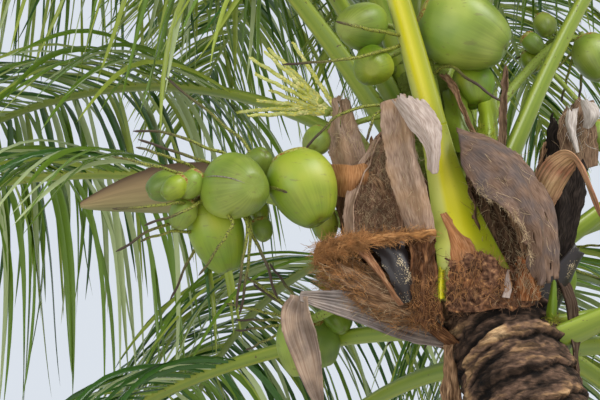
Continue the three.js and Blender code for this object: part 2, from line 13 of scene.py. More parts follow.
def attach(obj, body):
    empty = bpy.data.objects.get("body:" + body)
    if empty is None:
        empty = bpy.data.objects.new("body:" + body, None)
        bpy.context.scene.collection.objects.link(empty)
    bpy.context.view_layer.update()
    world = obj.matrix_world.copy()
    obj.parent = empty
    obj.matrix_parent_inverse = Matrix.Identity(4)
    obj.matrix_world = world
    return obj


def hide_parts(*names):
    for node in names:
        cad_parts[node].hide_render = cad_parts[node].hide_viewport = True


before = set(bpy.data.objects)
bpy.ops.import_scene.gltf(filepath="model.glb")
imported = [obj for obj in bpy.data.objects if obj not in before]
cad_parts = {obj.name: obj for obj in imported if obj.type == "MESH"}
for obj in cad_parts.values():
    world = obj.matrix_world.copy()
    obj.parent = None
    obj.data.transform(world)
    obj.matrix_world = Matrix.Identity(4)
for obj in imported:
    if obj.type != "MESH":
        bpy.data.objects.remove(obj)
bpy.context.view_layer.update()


# View, floor and light
# The palm is seen from the ground, close under its crown. The floor is pale matt plaster, and the
# light is a wide soft sky with one broad window light high on the right and one low in front.
# The eye is placed by a point of the trunk's leaning line and by where that point shows.

AXIS_LENGTH = 4.25
LEAN_AT_FOOT = math.radians(23)
LEAN_AT_TIP = math.radians(9)
LEAN_RATE = (LEAN_AT_TIP - LEAN_AT_FOOT) / AXIS_LENGTH
LOOK_UP = math.radians(33)  # above level
LENS, SENSOR = 75, 36  # millimetres
PICTURE = (600, 400)
AIM_ALONG = 3.4  # this point of the trunk's line ...
AIM_SEEN = (472, 245, 3.3)  # ... shows at this column and row, so many metres ahead of the eye
LAY_RIGHT = np.array([1.0, 0, 0])
LAY_UP = np.array([0, -math.sin(LOOK_UP), math.cos(LOOK_UP)])
LAY_NEAR = np.array([0, -math.cos(LOOK_UP), -math.sin(LOOK_UP)])
SKY = "#e6edf6"
SKY_STRENGTH = 0.9
PLASTER = "#e4e1da"
FLOOR_SIZE = 60
LIT_PLACE = (-1.1, 0, 3.5)  # the middle of the crown, which both windows face


def trunk_point(s):
    lean = LEAN_AT_FOOT + LEAN_RATE * s
    x = -(math.cos(LEAN_AT_FOOT) - np.cos(lean)) / LEAN_RATE
    z = (np.sin(lean) - math.sin(LEAN_AT_FOOT)) / LEAN_RATE
    return np.stack([x, 0 * x, z], axis=-1)


def from_eye(column, row, distance):
    """The way from the eye to a place that shows at a column and row, so many metres ahead."""
    pixel = distance * SENSOR / LENS / PICTURE[0]
    aside = LAY_RIGHT * (column - PICTURE[0] / 2) + LAY_UP * (PICTURE[1] / 2 - row)
    return aside * pixel - LAY_NEAR * distance


EYE = trunk_point(AIM_ALONG) - from_eye(*AIM_SEEN)


def seen_at(column, row, distance):
    """The place that shows at a column and row of the picture, so many metres ahead of the eye."""
    return EYE + from_eye(column, row, distance)


def paint(text):
    """The linear colour of an sRGB hex value."""
    values = [int(text[i : i + 2], 16) / 255 for i in (1, 3, 5)]
    return [v / 12.92 if v <= 0.04045 else ((v + 0.055) / 1.055) ** 2.4 for v in values] + [1.0]


def finish_of(name, colour, roughness, **sockets):
    """A new material whose shader has this colour and roughness and these other values."""
    material = bpy.data.materials.new(name)
    material.use_nodes = True
    shader = material.node_tree.nodes["Principled BSDF"]
    shader.inputs["Base Color"].default_value = paint(colour)
    shader.inputs["Roughness"].default_value = roughness
    for socket, value in sockets.items():
        shader.inputs[socket.replace("_", " ")].default_value = value
    return material


camera = bpy.data.objects.new("camera", bpy.data.cameras.new("camera"))
bpy.context.scene.collection.objects.link(camera)
camera.location = EYE
camera.rotation_euler = (math.radians(90) + LOOK_UP, 0, 0)
camera.data.lens = LENS
camera.data.sensor_width = SENSOR
bpy.context.scene.camera = camera

bpy.ops.mesh.primitive_plane_add(size=FLOOR_SIZE)
floor = bpy.context.object
floor.name = "floor"
floor.data.materials.append(finish_of("matt_plaster", PLASTER, 0.9))

sky = bpy.data.worlds.new("soft_sky")
sky.use_nodes = True
sky.node_tree.nodes["Background"].inputs["Color"].default_value = paint(SKY)
sky.node_tree.nodes["Background"].inputs["Strength"].default_value = SKY_STRENGTH
bpy.context.scene.world = sky
bpy.context.scene.view_settings.view_transform = "Standard"

WINDOWS = (
    {"name": "high_window", "at": (3.5, -6.0, 8.0), "size": 4.5, "power": 660},
    {"name": "low_window", "at": (-4.0, -6.0, 1.6), "size": 4.0, "power": 120},
)
for window in WINDOWS:
    lamp = bpy.data.objects.new(window["name"], bpy.data.lights.new(window["name"], "AREA"))
    bpy.context.scene.collection.objects.link(lamp)
    lamp.location = window["at"]
    towards = Vector(LIT_PLACE) - Vector(window["at"])
    lamp.rotation_euler = towards.to_track_quat("-Z", "Y").to_euler()
    lamp.data.size = window["size"]
    lamp.data.energy = window["power"]


# Trunk
# A leaning grey-brown stem, ringed by the torn, nearly level scars of the fronds that it has shed.
# It is one sheet of bark, rolled to a tube, with the ledges of the scars and the cracks pushed in.

CROWN_START = 3.02
CROWN_TAPER = 2.6
FOOT_FLARE = 0.085
FLARE_HEIGHT = 0.16
BOLE_RADIUS = 0.165
STEM_RADIUS = 0.142
TIP_RADIUS = 0.03
SCAR_SPACING = 0.085
SCAR_LEDGE = 0.013
SCAR_WANDER = 0.03
SCAR_TILT = 0.04  # how much higher the rings are on the stem's right than in its middle
GREEN_FROM, GREEN_TO = 3.4, 3.56  # where bark gives way to the green heart of the crown
# one broad tan lip under the crown: its middle (degrees round the stem, metres up it), how much it
# climbs for each radian, and half its length and height
LIP_TURN, LIP_PLACE, LIP_CLIMB = 229, 3.025, 0.066
LIP_REACH, LIP_HEIGHT = 0.085, 0.028
SHADE_FROM, SHADE_TO = 3.08, 3.14  # painted shade: the stem is painted darker here, where the crown overhangs it
BARK_COLUMNS, BARK_ROWS = 160, 600
FINE_FROM, FINE_TO = 2.6, 3.4  # the stretch under the crown, which is seen close
FINE_ROWS = 0.45  # its share of the rows
# settings of a node that mixes two colours
BLEND = {"data_type": "RGBA"}
MULTIPLY = {**BLEND, "blend_type": "MULTIPLY"}
OVERLAY = {**BLEND, "blend_type": "OVERLAY"}


def mix(a, b, t):
    return a + (b - a) * t


def smooth(low, high, t):
    """From 0 below low to 1 above high, eased at both ends."""
    share = np.clip((t - low) / (high - low), 0, 1)
    return share * share * (3 - 2 * share)


def trunk_radius(s):
    bole = mix(BOLE_RADIUS, STEM_RADIUS, s / CROWN_START) + FOOT_FLARE * np.exp(-s / FLARE_HEIGHT)
    u = np.clip((s - CROWN_START) / (AXIS_LENGTH - CROWN_START), 0, 1)
    return np.where(s < CROWN_START, bole, mix(STEM_RADIUS, TIP_RADIUS, u**CROWN_TAPER))


def around_trunk(s, angle, radius):
    """Points beside the trunk's line. angle is in radians from +X."""
    level = np.stack([np.cos(angle) * radius, np.sin(angle) * radius, 0 * angle], axis=-1)
    return trunk_point(s) + level


def lumps(points, size, seed=0):
    """Smooth noise from -1 to 1 at each point, in lumps of about that size."""
    shift = Vector((seed * 7.31, seed * 3.17, seed * 5.73))
    return np.array([noise.noise(Vector(p) / size + shift) for p in np.reshape(points, (-1, 3))])


def grid_piece(name, columns, rows, shape, rolled=False):
    """A grid primitive whose vertices are moved to shape(u, v), for u and v from 0 to 1.

    A rolled one closes on itself where u is 0 and 1, and where all of a row is one point."""
    bpy.ops.object.select_all(action="DESELECT")
    bpy.ops.mesh.primitive_grid_add(x_subdivisions=columns, y_subdivisions=rows, size=1)
    piece = bpy.context.object
    piece.name = piece.data.name = name
    flat = np.empty(len(piece.data.vertices) * 3)
    piece.data.vertices.foreach_get("co", flat)
    u, v = flat.reshape(-1, 3)[:, 0] + 0.5, flat.reshape(-1, 3)[:, 1] + 0.5
    piece.data.vertices.foreach_set("co", shape(u, v).ravel())
    if rolled:
        bpy.ops.object.mode_set(mode="EDIT")
        bpy.ops.mesh.select_all(action="SELECT")
        bpy.ops.mesh.remove_doubles(threshold=1e-5)
        bpy.ops.mesh.normals_make_consistent(inside=False)
        bpy.ops.object.mode_set(mode="OBJECT")
    bpy.ops.object.shade_smooth()
    return piece


def places_of(piece):
    """Where a piece's vertices are, one row each."""
    return np.array([v.co for v in piece.data.vertices])


def outlet(source):
    """The output that a node is read by, which is a colour mix's third. An output stays itself."""
    if isinstance(source, bpy.types.NodeSocket):
        return source
    return source.outputs[2 if source.bl_idname == "ShaderNodeMix" else 0]


def add_node(material, kind, settings=None, links=None):
    """Adds a node. A setting is a socket or a property, and stops are a colour ramp's."""
    node = material.node_tree.nodes.new("ShaderNode" + kind)
    for name, value in (settings or {}).items():
        if name == "stops":
            ramp = node.color_ramp.elements
            while len(ramp) < len(value):
                ramp.new(1)
            for stop, (place, colour) in zip(ramp, value):
                stop.position = place
                stop.color = paint(colour)
        elif isinstance(name, int) or name in node.inputs:
            node.inputs[name].default_value = value
        else:
            setattr(node, name, value)
    for name, source in (links or {}).items():
        material.node_tree.links.new(outlet(source), node.inputs[name])
    return node


def to_shader(material, **links):
    """Links nodes to the sockets of the material's own shader."""
    shader = material.node_tree.nodes["Principled BSDF"]
    for name, source in links.items():
        material.node_tree.links.new(outlet(source), shader.inputs[name.replace("_", " ")])


def patchy(material, at, scale, detail, stops, **more):
    """Noise at a place, and the colours of a ramp that it is turned to. Three scales stretch it."""
    if isinstance(scale, tuple):
        at = add_node(material, "Mapping", {"Scale": scale}, {"Vector": at})
        scale = 1
    settings = {"Scale": scale, "Detail": detail, **more}
    grain = add_node(material, "TexNoise", settings, {"Vector": at})
    return grain, add_node(material, "ValToRGB", {"stops": stops}, {"Fac": grain})


def settle(piece, material, slot, *nodes):
    """Gives a finished piece its material, and puts it in the place of CAD nodes. The slot is not used."""
    piece.data.materials.clear()
    piece.data.materials.append(material)
    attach(piece, "root")
    if nodes:
        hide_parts(*nodes)


def note_value(piece, name, values):
    """Stores one number for each vertex, for the material to read."""
    piece.data.attributes.new(name, "FLOAT", "POINT")
    piece.data.attributes[name].data.foreach_set("value", values.astype(np.float32))


def tint_by(material, attribute, colour):
    """Turns the material's colour into another one where a vertex attribute is 1."""
    shader = material.node_tree.nodes["Principled BSDF"]
    plain = shader.inputs["Base Color"].links[0].from_socket
    share = add_node(material, "Attribute", {"attribute_name": attribute}).outputs["Fac"]
    mixed = add_node(material, "Mix", {**BLEND, 7: paint(colour)}, {0: share, 6: plain})
    to_shader(material, Base_Color=mixed)
    return material


def bark_relief(turn, s):
    """How far the bark stands out, and how tan it is, at an angle and a place along the trunk. The tan value
    also holds painted shade under the crown.
    """
    round_from = (turn - math.radians(LIP_TURN) + math.pi) % (2 * math.pi) - math.pi
    off = np.abs(s - LIP_PLACE - LIP_CLIMB * round_from) / LIP_HEIGHT
    near = smooth(LIP_REACH, 0.7 * LIP_REACH, np.abs(round_from) * STEM_RADIUS)
    broad_lip = near * smooth(1.1, 0.8, off)
    edge = near * smooth(0.9, 1.1, off) * smooth(1.6, 1.3, off)
    # painted shade: the bark's colour is darkened under the crown, where its shadow falls
    painted_crown_shade = smooth(SHADE_FROM, SHADE_TO, s)
    s = s - SCAR_TILT * np.cos(turn)
    round_trip = np.stack([np.cos(turn) * 0.16, np.sin(turn) * 0.16, s], axis=-1)
    wander = lumps(round_trip * [1, 1, 0.6], 0.13, 1) * SCAR_WANDER + lumps(round_trip, 0.03, 6) * 0.008
    ring = (s + wander) / SCAR_SPACING
    step = ring - np.floor(ring)
    row = np.stack([np.floor(ring) * 3.7, turn, 0 * turn], axis=-1)
    strength = np.clip(0.7 + 1.1 * lumps(row, 0.9, 2), 0.1, 1.5)
    ledge = (1 - step) ** 1.8 * smooth(0, 0.1, step) * strength
    groove = smooth(0.72, 0.97, step) * smooth(1, 0.985, step)
    # torn slabs and crumbs lie along the rings, not up the stem
    slabs = lumps(round_trip * [0.4, 0.4, 1.3], 0.021, 3)
    torn = lumps(round_trip * [0.6, 0.6, 1.2], 0.009, 7)
    crumbs = lumps(round_trip, 0.024, 4)
    height = SCAR_LEDGE * ledge - 0.006 * groove + 0.006 * slabs + 0.004 * torn + 0.003 * crumbs
    height = height + 0.008 * broad_lip - 0.005 * edge
    lip = smooth(0.02, 0.12, step) * smooth(0.42, 0.12, step) * np.clip(strength, 0, 1.2)
    patch = lumps(round_trip * [0.7, 0.7, 1], 0.075, 5)
    tan = 0.42 + 0.3 * lip * (0.6 + patch) + 0.24 * slabs + 0.2 * torn - 0.4 * groove + 0.42 * patch
    return height, tan + 0.36 * broad_lip - 0.35 * edge - 0.22 * painted_crown_shade


def row_place(v):
    """The share of the trunk's length at which a row of bark lies. Rows are close under the crown."""
    low = (1 - FINE_ROWS) * FINE_FROM / (AXIS_LENGTH - FINE_TO + FINE_FROM)
    high = low + FINE_ROWS
    return np.interp(v, [0, low, high, 1], [0, FINE_FROM / AXIS_LENGTH, FINE_TO / AXIS_LENGTH, 1])


def bark_points(u, v):
    turn = u * 2 * math.pi
    row = np.round(v * BARK_ROWS)
    s = row_place(np.clip((row - 1) / (BARK_ROWS - 2), 0, 1)) * AXIS_LENGTH
    end = (row > 0) & (row < BARK_ROWS)
    height, _ = bark_relief(turn, s)
    calm = smooth(0, 0.03, s)
    radius = np.where(end, trunk_radius(s) + height * calm, 0)
    return around_trunk(s, turn, radius)


def ring_scarred_bark():
    """Palm bark: corky, matt and fibrous, brown near the crown and weathered grey below."""
    bark = finish_of("ring_scarred_bark", "#6b5540", 0.92, Specular_IOR_Level=0.25)
    place = add_node(bark, "TexCoord").outputs["Object"]
    tone = add_node(bark, "Attribute", {"attribute_name": "tan"}).outputs["Fac"]
    age = add_node(bark, "Attribute", {"attribute_name": "age"}).outputs["Fac"]
    stops = [(0.08, "#20160f"), (0.28, "#4f3c2f"), (0.48, "#7a5e4c"), (0.7, "#aa845e"), (0.95, "#d2ac80")]
    brown = add_node(bark, "ValToRGB", {"stops": stops}, {"Fac": tone})
    stops = [(0.1, "#2b2420"), (0.35, "#655a50"), (0.65, "#8f8475"), (0.95, "#b9ae9c")]
    grey = add_node(bark, "ValToRGB", {"stops": stops}, {"Fac": tone})
    both = add_node(bark, "Mix", BLEND, {0: age, 6: brown, 7: grey})
    # torn flakes of 1 by 4 cm, tan where they stand out and nearly black between them
    stops = [(0.38, "#6a6a6a"), (0.48, "#bababa"), (0.62, "#ffffff")]
    flakes, tone = patchy(bark, place, (24, 24, 75), 8, stops, Distortion=0.7)
    flaked = add_node(bark, "Mix", {**MULTIPLY, 0: 0.9}, {6: both, 7: tone})
    # torn fibre ends of 2 to 6 mm, longer round the stem than up it
    strips = add_node(bark, "Mapping", {"Scale": (110, 110, 260)}, {"Vector": place})
    fibre = add_node(bark, "TexNoise", {"Scale": 1, "Detail": 5}, {"Vector": strips})
    shade = add_node(bark, "Mix", {**OVERLAY, 0: 0.6}, {6: flaked, 7: fibre})
    rough = add_node(bark, "Math", {"operation": "ADD"}, {0: fibre, 1: flakes})
    bump = add_node(bark, "Bump", {"Strength": 1, "Distance": 0.006}, {"Height": rough})
    to_shader(bark, Base_Color=shade, Normal=bump)
    return tint_by(bark, "fresh", "#7b8738")


trunk = grid_piece("trunk_bark", BARK_COLUMNS, BARK_ROWS, bark_points, rolled=True)
seen = places_of(trunk)
axis_height = trunk_point(np.linspace(0, AXIS_LENGTH, 200))
along_trunk = np.interp(seen[:, 2], axis_height[:, 2], np.linspace(0, AXIS_LENGTH, 200))
middle = trunk_point(along_trunk)
turned = np.arctan2(seen[:, 1], seen[:, 0] - middle[:, 0])
# the tan attribute also carries the painted shade under the crown
note_value(trunk, "tan", np.clip(bark_relief(turned, along_trunk)[1], 0, 1))
note_value(trunk, "age", 1 - smooth(1.4, 2.6, along_trunk))
note_value(trunk, "fresh", 0.85 * smooth(GREEN_FROM, GREEN_TO, along_trunk))
settle(trunk, ring_scarred_bark(), "bark", "trunk")


# Fronds
# Each frond is one stiff leaf rib with a bare petiole that clasps the trunk, and close pairs of
# long folded leaflets past it. Ribs are rolled grids, and leaflets are rows of joined strips.

SEAT_DEPTH = 0.045
PETIOLE_WIDTH = 0.084
BASE_EXTRA_WIDTH = 0.078
BASE_FADE = 0.12
PETIOLE_DEPTH = 0.052
RIB_TIP = 0.009
RIB_TAPER = 0.8
RIB_CROWDING = 1.6
RIB_SIDES, RIB_ROWS = 16, 44
ARC_PIECES = 48
BLADE_START, BLADE_END = 0.235, 0.99
LEAFLET_PAIRS = 104
LEAFLET_LENGTH = 1.08
LEAFLET_WIDTH = 0.031
LEAFLET_STEPS = 11
LEAFLET_FOLD = 0.55  # how far the two halves fold down, as a share of their width
SPREAD_AT_FOOT, SPREAD_AT_TIP = 64, 24
LEAFLET_LIFT = 0.28
LIMP_LIFT = 0.35
LIMP_DROP = 1.5
BLADE_FOOT = 0.24  # where a leaflet's share of the blade is counted from
# how much leaflets differ: degrees of spread, then shares of length, lift and limpness
SPREAD_SCATTER, LENGTH_SCATTER = 4, (0.86, 1.02)
LIFT_SCATTER, LIMP_SCATTER = 0.08, (0.7, 1.35)
SWAY = 0.1  # how far a leaflet bends aside towards its tip
TWIST, END_TWIST = 0.35, 0.9  # radians, of a whole leaflet and more towards its tip
UP = np.array([0.0, 0.0, 1.0])


def unit(vectors):
    return vectors / np.linalg.norm(vectors, axis=-1, keepdims=True)


def arc(start, azimuth, lean, droop, length, power):
    """A limb's line: it leaves start at one lean from upright and ends at another."""
    turn = math.radians(azimuth)

    def along(t):
        tilt = np.radians(mix(lean, droop, t**power))
        level = np.sin(tilt)
        return np.stack([level * math.cos(turn), level * math.sin(turn), np.cos(tilt)], axis=-1)

    middles = (np.arange(ARC_PIECES) + 0.5) / ARC_PIECES
    steps = along(middles) * length / ARC_PIECES
    points = np.vstack([start, start + np.cumsum(steps, axis=0)])
    shares = np.linspace(0, 1, ARC_PIECES + 1)

    def point(t):
        return np.stack([np.interp(t, shares, points[:, k]) for k in range(3)], axis=-1)

    across = np.array([-math.sin(turn), math.cos(turn), 0])
    return {"along": along, "point": point, "across": across, "length": length}


def limb(leaf):
    seat = leaf["seat"]
    turn = math.radians(leaf["azimuth"])
    foot = around_trunk(seat, turn, float(trunk_radius(seat)) - SEAT_DEPTH)
    line = arc(foot, leaf["azimuth"], leaf["lean"], leaf["droop"], leaf["length"] + SEAT_DEPTH, leaf["power"])
    return {**leaf, **line}


def ring_of_leaves(count, first, last, values):
    """Leaves round the trunk, evenly spread from one azimuth to another."""
    for i, azimuth in enumerate(np.linspace(first, last, count)):
        share = (i * 0.618) % 1
        yield {
            **values,
            "azimuth": float(azimuth),
            "seat": values["seat"] + share * values["rise"],
            "lean": values["lean"] + (share - 0.5) * 6,
        }


OLD = {"droop": 127, "length": 4.15, "limp": 1, "blade": 1, "power": 1}
GROWN = {"droop": 124, "length": 4.2, "limp": 0.9, "blade": 1, "power": 1.1}
YOUNG = {"droop": 106, "length": 3.7, "limp": 0.7, "blade": 0.9, "power": 1.3}
FRONT = {"droop": 112, "length": 4.0, "limp": 0.8, "blade": 1, "power": 1.4}
HIGH = {"droop": 104, "length": 3.95, "limp": 0.7, "blade": 0.95, "power": 1.4}
LEAVES = [
    *ring_of_leaves(6, -14, 108, {**OLD, "seat": 3.085, "rise": 0.095, "lean": 70}),
    {**OLD, "seat": 3.18, "azimuth": 131, "lean": 68},
    *ring_of_leaves(4, 2, 110, {**GROWN, "seat": 3.3, "rise": 0.09, "lean": 50}),
    {**GROWN, "seat": 3.36, "azimuth": 150, "lean": 49},
    {**GROWN, "seat": 3.6, "azimuth": 142, "lean": 38, "limp": 0.8},
    {**FRONT, "seat": 3.3, "azimuth": 238, "lean": 22},
    {**FRONT, "seat": 3.52, "azimuth": 348, "lean": 23, "power": 1.5},
    {**FRONT, "seat": 3.57, "azimuth": 198, "lean": 30, "droop": 118, "length": 4.15, "limp": 0.9},
    {**FRONT, "seat": 3.72, "azimuth": 190, "lean": 21, "droop": 105},
    {**HIGH, "seat": 3.72, "azimuth": 22, "lean": 9, "droop": 100, "length": 3.9},
    {**HIGH, "seat": 3.7, "azimuth": 110, "lean": 17},
    *ring_of_leaves(5, 214, 502, {**YOUNG, "seat": 3.88, "rise": 0.09, "lean": 21}),
    {**YOUNG, "seat": 3.96, "azimuth": 320, "lean": 13},
    {**YOUNG, "seat": 4.08, "azimuth": 296, "lean": 8, "droop": 78, "length": 3.3, "limp": 0.5, "blade": 0.8},
    {**YOUNG, "seat": 4.08, "azimuth": 92, "lean": 6, "droop": 60, "length": 3.0, "limp": 0.4, "blade": 0.75},
]
LEAVES = [limb(leaf) for leaf in LEAVES]
FROND_NODES = [f"frond_{i + 1:02d}" for i in range(len(LEAVES))]
FRONT_FROND = 13  # the one that rises in front of the nuts


def rib_width(x, leaf):
    taper = mix(PETIOLE_WIDTH, RIB_TIP, np.clip(x / leaf["length"], 0, 1) ** RIB_TAPER)
    clasp = BASE_EXTRA_WIDTH * float(trunk_radius(leaf["seat"])) / STEM_RADIUS
    return taper + clasp * np.exp(-x / BASE_FADE)


def rib_depth(x, leaf):
    return mix(PETIOLE_DEPTH, RIB_TIP, np.clip(x / leaf["length"], 0, 1) ** RIB_TAPER)


def top_of(leaf, t):
    return -np.cross(leaf["across"], leaf["along"](t))


def rib_piece(name, leaf, share=1, rows=RIB_ROWS):
    """The rib is channelled above, rounded below, and closed at both ends."""

    def shape(u, v):
        row = np.round(v * rows)
        t = share * (np.clip((row - 1) / (rows - 2), 0, 1)) ** RIB_CROWDING
        closed = np.where((row > 0) & (row < rows), 1, 0)
        turn = u * 2 * math.pi
        reach = t * leaf["length"]
        below = np.clip(-np.sin(turn), 0, 1)
        side = np.cos(turn) * (1 - 0.3 * below) * closed
        channel = 0.35 * np.exp(-((side / 0.45) ** 2)) * np.clip(np.sin(turn), 0, 1)
        rise = (np.sin(turn) - channel) * closed
        return (
            leaf["point"](t)
            + leaf["across"] * (side * rib_width(reach, leaf) / 2)[:, None]
            + top_of(leaf, t) * (rise * rib_depth(reach, leaf) / 2)[:, None]
        )

    return grid_piece(name, RIB_SIDES, rows, shape, rolled=True)


def join(name, parts):
    """Joins pieces into one mesh."""
    bpy.ops.object.select_all(action="DESELECT")
    for part in parts:
        part.select_set(True)
    bpy.context.view_layer.objects.active = parts[0]
    bpy.ops.object.join()
    parts[0].name = parts[0].data.name = name
    return parts[0]


def waxy_rib(name, light, dark, edge):
    """A living leaf rib: a hard waxy skin, yellow-green and streaked lengthwise, with brown flecks."""
    skin = finish_of(name, light, 0.38, Specular_IOR_Level=0.5)
    surface = add_node(skin, "TexCoord").outputs
    # streaks run along the rib, a few centimetres apart across it
    stops = [(0.3, dark), (0.55, light), (0.75, edge)]
    streaks, colour = patchy(skin, surface["UV"], (7, 1.5, 1), 3, stops)
    # flecks of 3 to 8 mm where the skin was bruised
    _, mask = patchy(skin, surface["Object"], 70, 2, [(0.69, "#000000"), (0.73, "#ffffff")])
    flecked = add_node(skin, "Mix", {**BLEND, 7: paint("#5a4420")}, {0: mask, 6: colour})
    bump = add_node(skin, "Bump", {"Strength": 0.25, "Distance": 0.002}, {"Height": streaks})
    to_shader(skin, Base_Color=flecked, Normal=bump)
    return skin


def golden_rib_skin():
    """The front petiole: hard and waxy, from pale lime on its left over gold to olive on its right."""
    skin = waxy_rib("golden_rib_skin", "#b8b620", "#98a022", "#d6cc3a")
    shader = skin.node_tree.nodes["Principled BSDF"]
    flecked = shader.inputs["Base Color"].links[0].from_socket
    side = add_node(skin, "Attribute", {"attribute_name": "side"}).outputs["Fac"]
    lime = [(0.05, "#bcc65c"), (0.3, "#d9d872")]
    gold = [(0.42, "#eadc1c"), (0.6, "#dccf10")]
    olive = [(0.76, "#a5a60e"), (1, "#6f7c12")]
    tint = add_node(skin, "ValToRGB", {"stops": lime + gold + olive}, {"Fac": side})
    tinted = add_node(skin, "Mix", {**BLEND, 0: 0.8}, {6: flecked, 7: tint})
    to_shader(skin, Base_Color=tinted)
    return skin


def side_share(piece, middle, across, reach):
    """How far each vertex lies from the left to the right of a line of points, from 0 to 1."""
    seen = places_of(piece)
    nearest = np.argmin(np.linalg.norm(seen[:, None] - middle[None], axis=2), axis=1)
    return np.clip(0.5 + (seen - middle[nearest]) @ across / reach, 0, 1)


GOLDEN_SKIN = golden_rib_skin()
front_leaf = LEAVES[FRONT_FROND]
front_middle = front_leaf["point"](np.linspace(0, 1, 240))
front_rib = rib_piece("front_petiole", front_leaf)
note_value(front_rib, "side", side_share(front_rib, front_middle, front_leaf["across"], PETIOLE_WIDTH))
settle(front_rib, GOLDEN_SKIN, "leaf_green", FROND_NODES[FRONT_FROND])

others = [i for i in range(len(LEAVES)) if i != FRONT_FROND]
ribs = join("frond_ribs", [rib_piece(f"rib_{i}", LEAVES[i]) for i in others])
green_skin = waxy_rib("green_rib_skin", "#8d9c30", "#6c8424", "#b2ae44")
settle(ribs, green_skin, "leaf_green", *(FROND_NODES[i] for i in others))


def leaflet_share(u):
    """Share of the longest leaflet, from the blade's foot at 0 to its tip at 1."""
    return np.sin(math.pi * mix(0.22, 0.9, u)) ** 0.8


def leaflets_of(leaf, dice):
    """The midlines, broad sides and widths of one frond's leaflets, at every step along them."""
    t = np.repeat(np.linspace(BLADE_START, BLADE_END, LEAFLET_PAIRS), 2)
    t = np.clip(t + dice.normal(0, 0.0015, t.size), BLADE_START, BLADE_END)
    side = np.tile([-1.0, 1.0], LEAFLET_PAIRS)
    u = (t - BLADE_FOOT) / (1 - BLADE_FOOT)
    spread = mix(SPREAD_AT_FOOT, SPREAD_AT_TIP, u) + dice.normal(0, SPREAD_SCATTER, t.size)
    spread = np.radians(spread)
    share = leaflet_share(np.clip(u, 0, 1))
    length = LEAFLET_LENGTH * share * leaf["blade"] * dice.uniform(*LENGTH_SCATTER, t.size)
    along = leaf["along"](t)
    top = top_of(leaf, t)
    lift = LEAFLET_LIFT + dice.normal(0, LIFT_SCATTER, t.size)
    first = unit(
        along * np.cos(spread)[:, None]
        + leaf["across"] * (side * np.sin(spread))[:, None]
        + top * lift[:, None]
        - UP * LIMP_LIFT * leaf["limp"]
    )
    reach = t * leaf["length"]
    root = leaf["point"](t) + leaf["across"] * (side * 0.4 * rib_width(reach, leaf))[:, None]
    steps = (np.arange(LEAFLET_STEPS) + 0.5) / LEAFLET_STEPS
    limp = leaf["limp"] * dice.uniform(*LIMP_SCATTER, t.size)
    fall = LIMP_DROP * (0.35 * smooth(0, 0.4, steps) + 0.9 * smooth(0.3, 0.8, steps) + 0.7 * steps**4)
    bend = unit(first[:, None, :] - UP * (limp[:, None] * fall)[:, :, None])
    sway = dice.normal(0, SWAY, (t.size, 1, 3)) * (steps[:, None] ** 2)
    bend = unit(bend + sway)
    grown = root[:, None, :] + np.cumsum(bend * (length / LEAFLET_STEPS)[:, None, None], axis=1)
    middles = np.concatenate([root[:, None, :], grown], axis=1)
    heading = np.concatenate([bend[:, :1], bend], axis=1)
    broad = unit(along[:, None, :] - heading * np.sum(along[:, None, :] * heading, axis=2, keepdims=True))
    flat = np.cross(heading, broad) * side[:, None, None]
    flat *= np.where(np.sum(flat[:, :1] * top[:, None, :], axis=2, keepdims=True) < 0, -1, 1)
    s = np.linspace(0, 1, LEAFLET_STEPS + 1)
    end_twist = dice.normal(0, END_TWIST, t.size)[:, None] * s**2
    twist = (dice.normal(0, TWIST, t.size)[:, None] + end_twist)[:, :, None]
    turned_broad = broad * np.cos(twist) + flat * np.sin(twist)
    turned_flat = flat * np.cos(twist) - broad * np.sin(twist)
    outline = 1.45 * (s + 0.02) ** 0.25 * (1 - s) ** 0.7
    width = LEAFLET_WIDTH * (0.55 + 0.45 * share)[:, None] * outline
    return middles, turned_broad, turned_flat, width


def copies_piece(name, corners, faces):
    """One mesh of many like bits. corners has a row of points for each bit, and faces are one bit's."""
    offsets = np.arange(len(corners))[:, None] * corners.shape[1]
    every = [row for face in faces for row in (offsets + np.array(face)).tolist()]
    mesh = bpy.data.meshes.new(name)
    mesh.from_pydata(corners.reshape(-1, 3).tolist(), [], every)
    mesh.shade_smooth()
    piece = bpy.data.objects.new(name, mesh)
    bpy.context.scene.collection.objects.link(piece)
    return piece


def strips_piece(name, middles, broad, flat, width, fold):
    """Folded strips. Each has its two edges and its midline, and ends in a point."""
    count, stations = width.shape
    edge = broad * (width / 2)[:, :, None]
    sink = flat * (width / 2 * fold)[:, :, None]
    rows = np.stack([middles + edge - sink, middles, middles - edge - sink], axis=2)
    body = rows[:, :-1].reshape(count, -1, 3)
    points = np.concatenate([body, middles[:, -1:]], axis=1)
    starts = [3 * k + j for k in range(stations - 2) for j in (0, 1)]
    faces = [(a, a + 1, a + 4, a + 3) for a in starts]
    last = 3 * (stations - 2)
    faces += [(last + j, last + j + 1, last + 3) for j in (0, 1)]
    return copies_piece(name, points, faces)


def leaf_blade(name, colour):
    """Palm leaflet: a tough, waxy, faintly ribbed blade with a soft sheen and one plain green."""
    blade = finish_of(name, colour, 0.42, Specular_IOR_Level=0.45)
    place = add_node(blade, "TexCoord").outputs["Object"]
    # the sheen breaks up over patches of a few centimetres
    _, sheen = patchy(blade, place, 30, 2, [(0.3, "#5c5c5c"), (0.7, "#8c8c8c")])
    to_shader(blade, Roughness=sheen)
    return blade


LEAF_GREENS = {"deep": "#42692a", "fresh": "#708e2e", "sunlit": "#a2b048", "pale": "#b9c68e"}
# shares of deep, fresh, sunlit and pale leaflets. Besides their own greens these are painted light: deep
# leaflets are painted shade, and sunlit and pale ones are painted sunlight and highlight, so the low fronds
# are painted darkest and the high ones lightest
LOW_MIX = (0.45, 0.35, 0.12, 0.08)
MIDDLE_MIX = (0.2, 0.4, 0.2, 0.2)
HIGH_MIX = (0.1, 0.4, 0.4, 0.1)
LOW_COUNT, MIDDLE_COUNT = 7, 6  # how many of the fronds are low, and how many in the middle

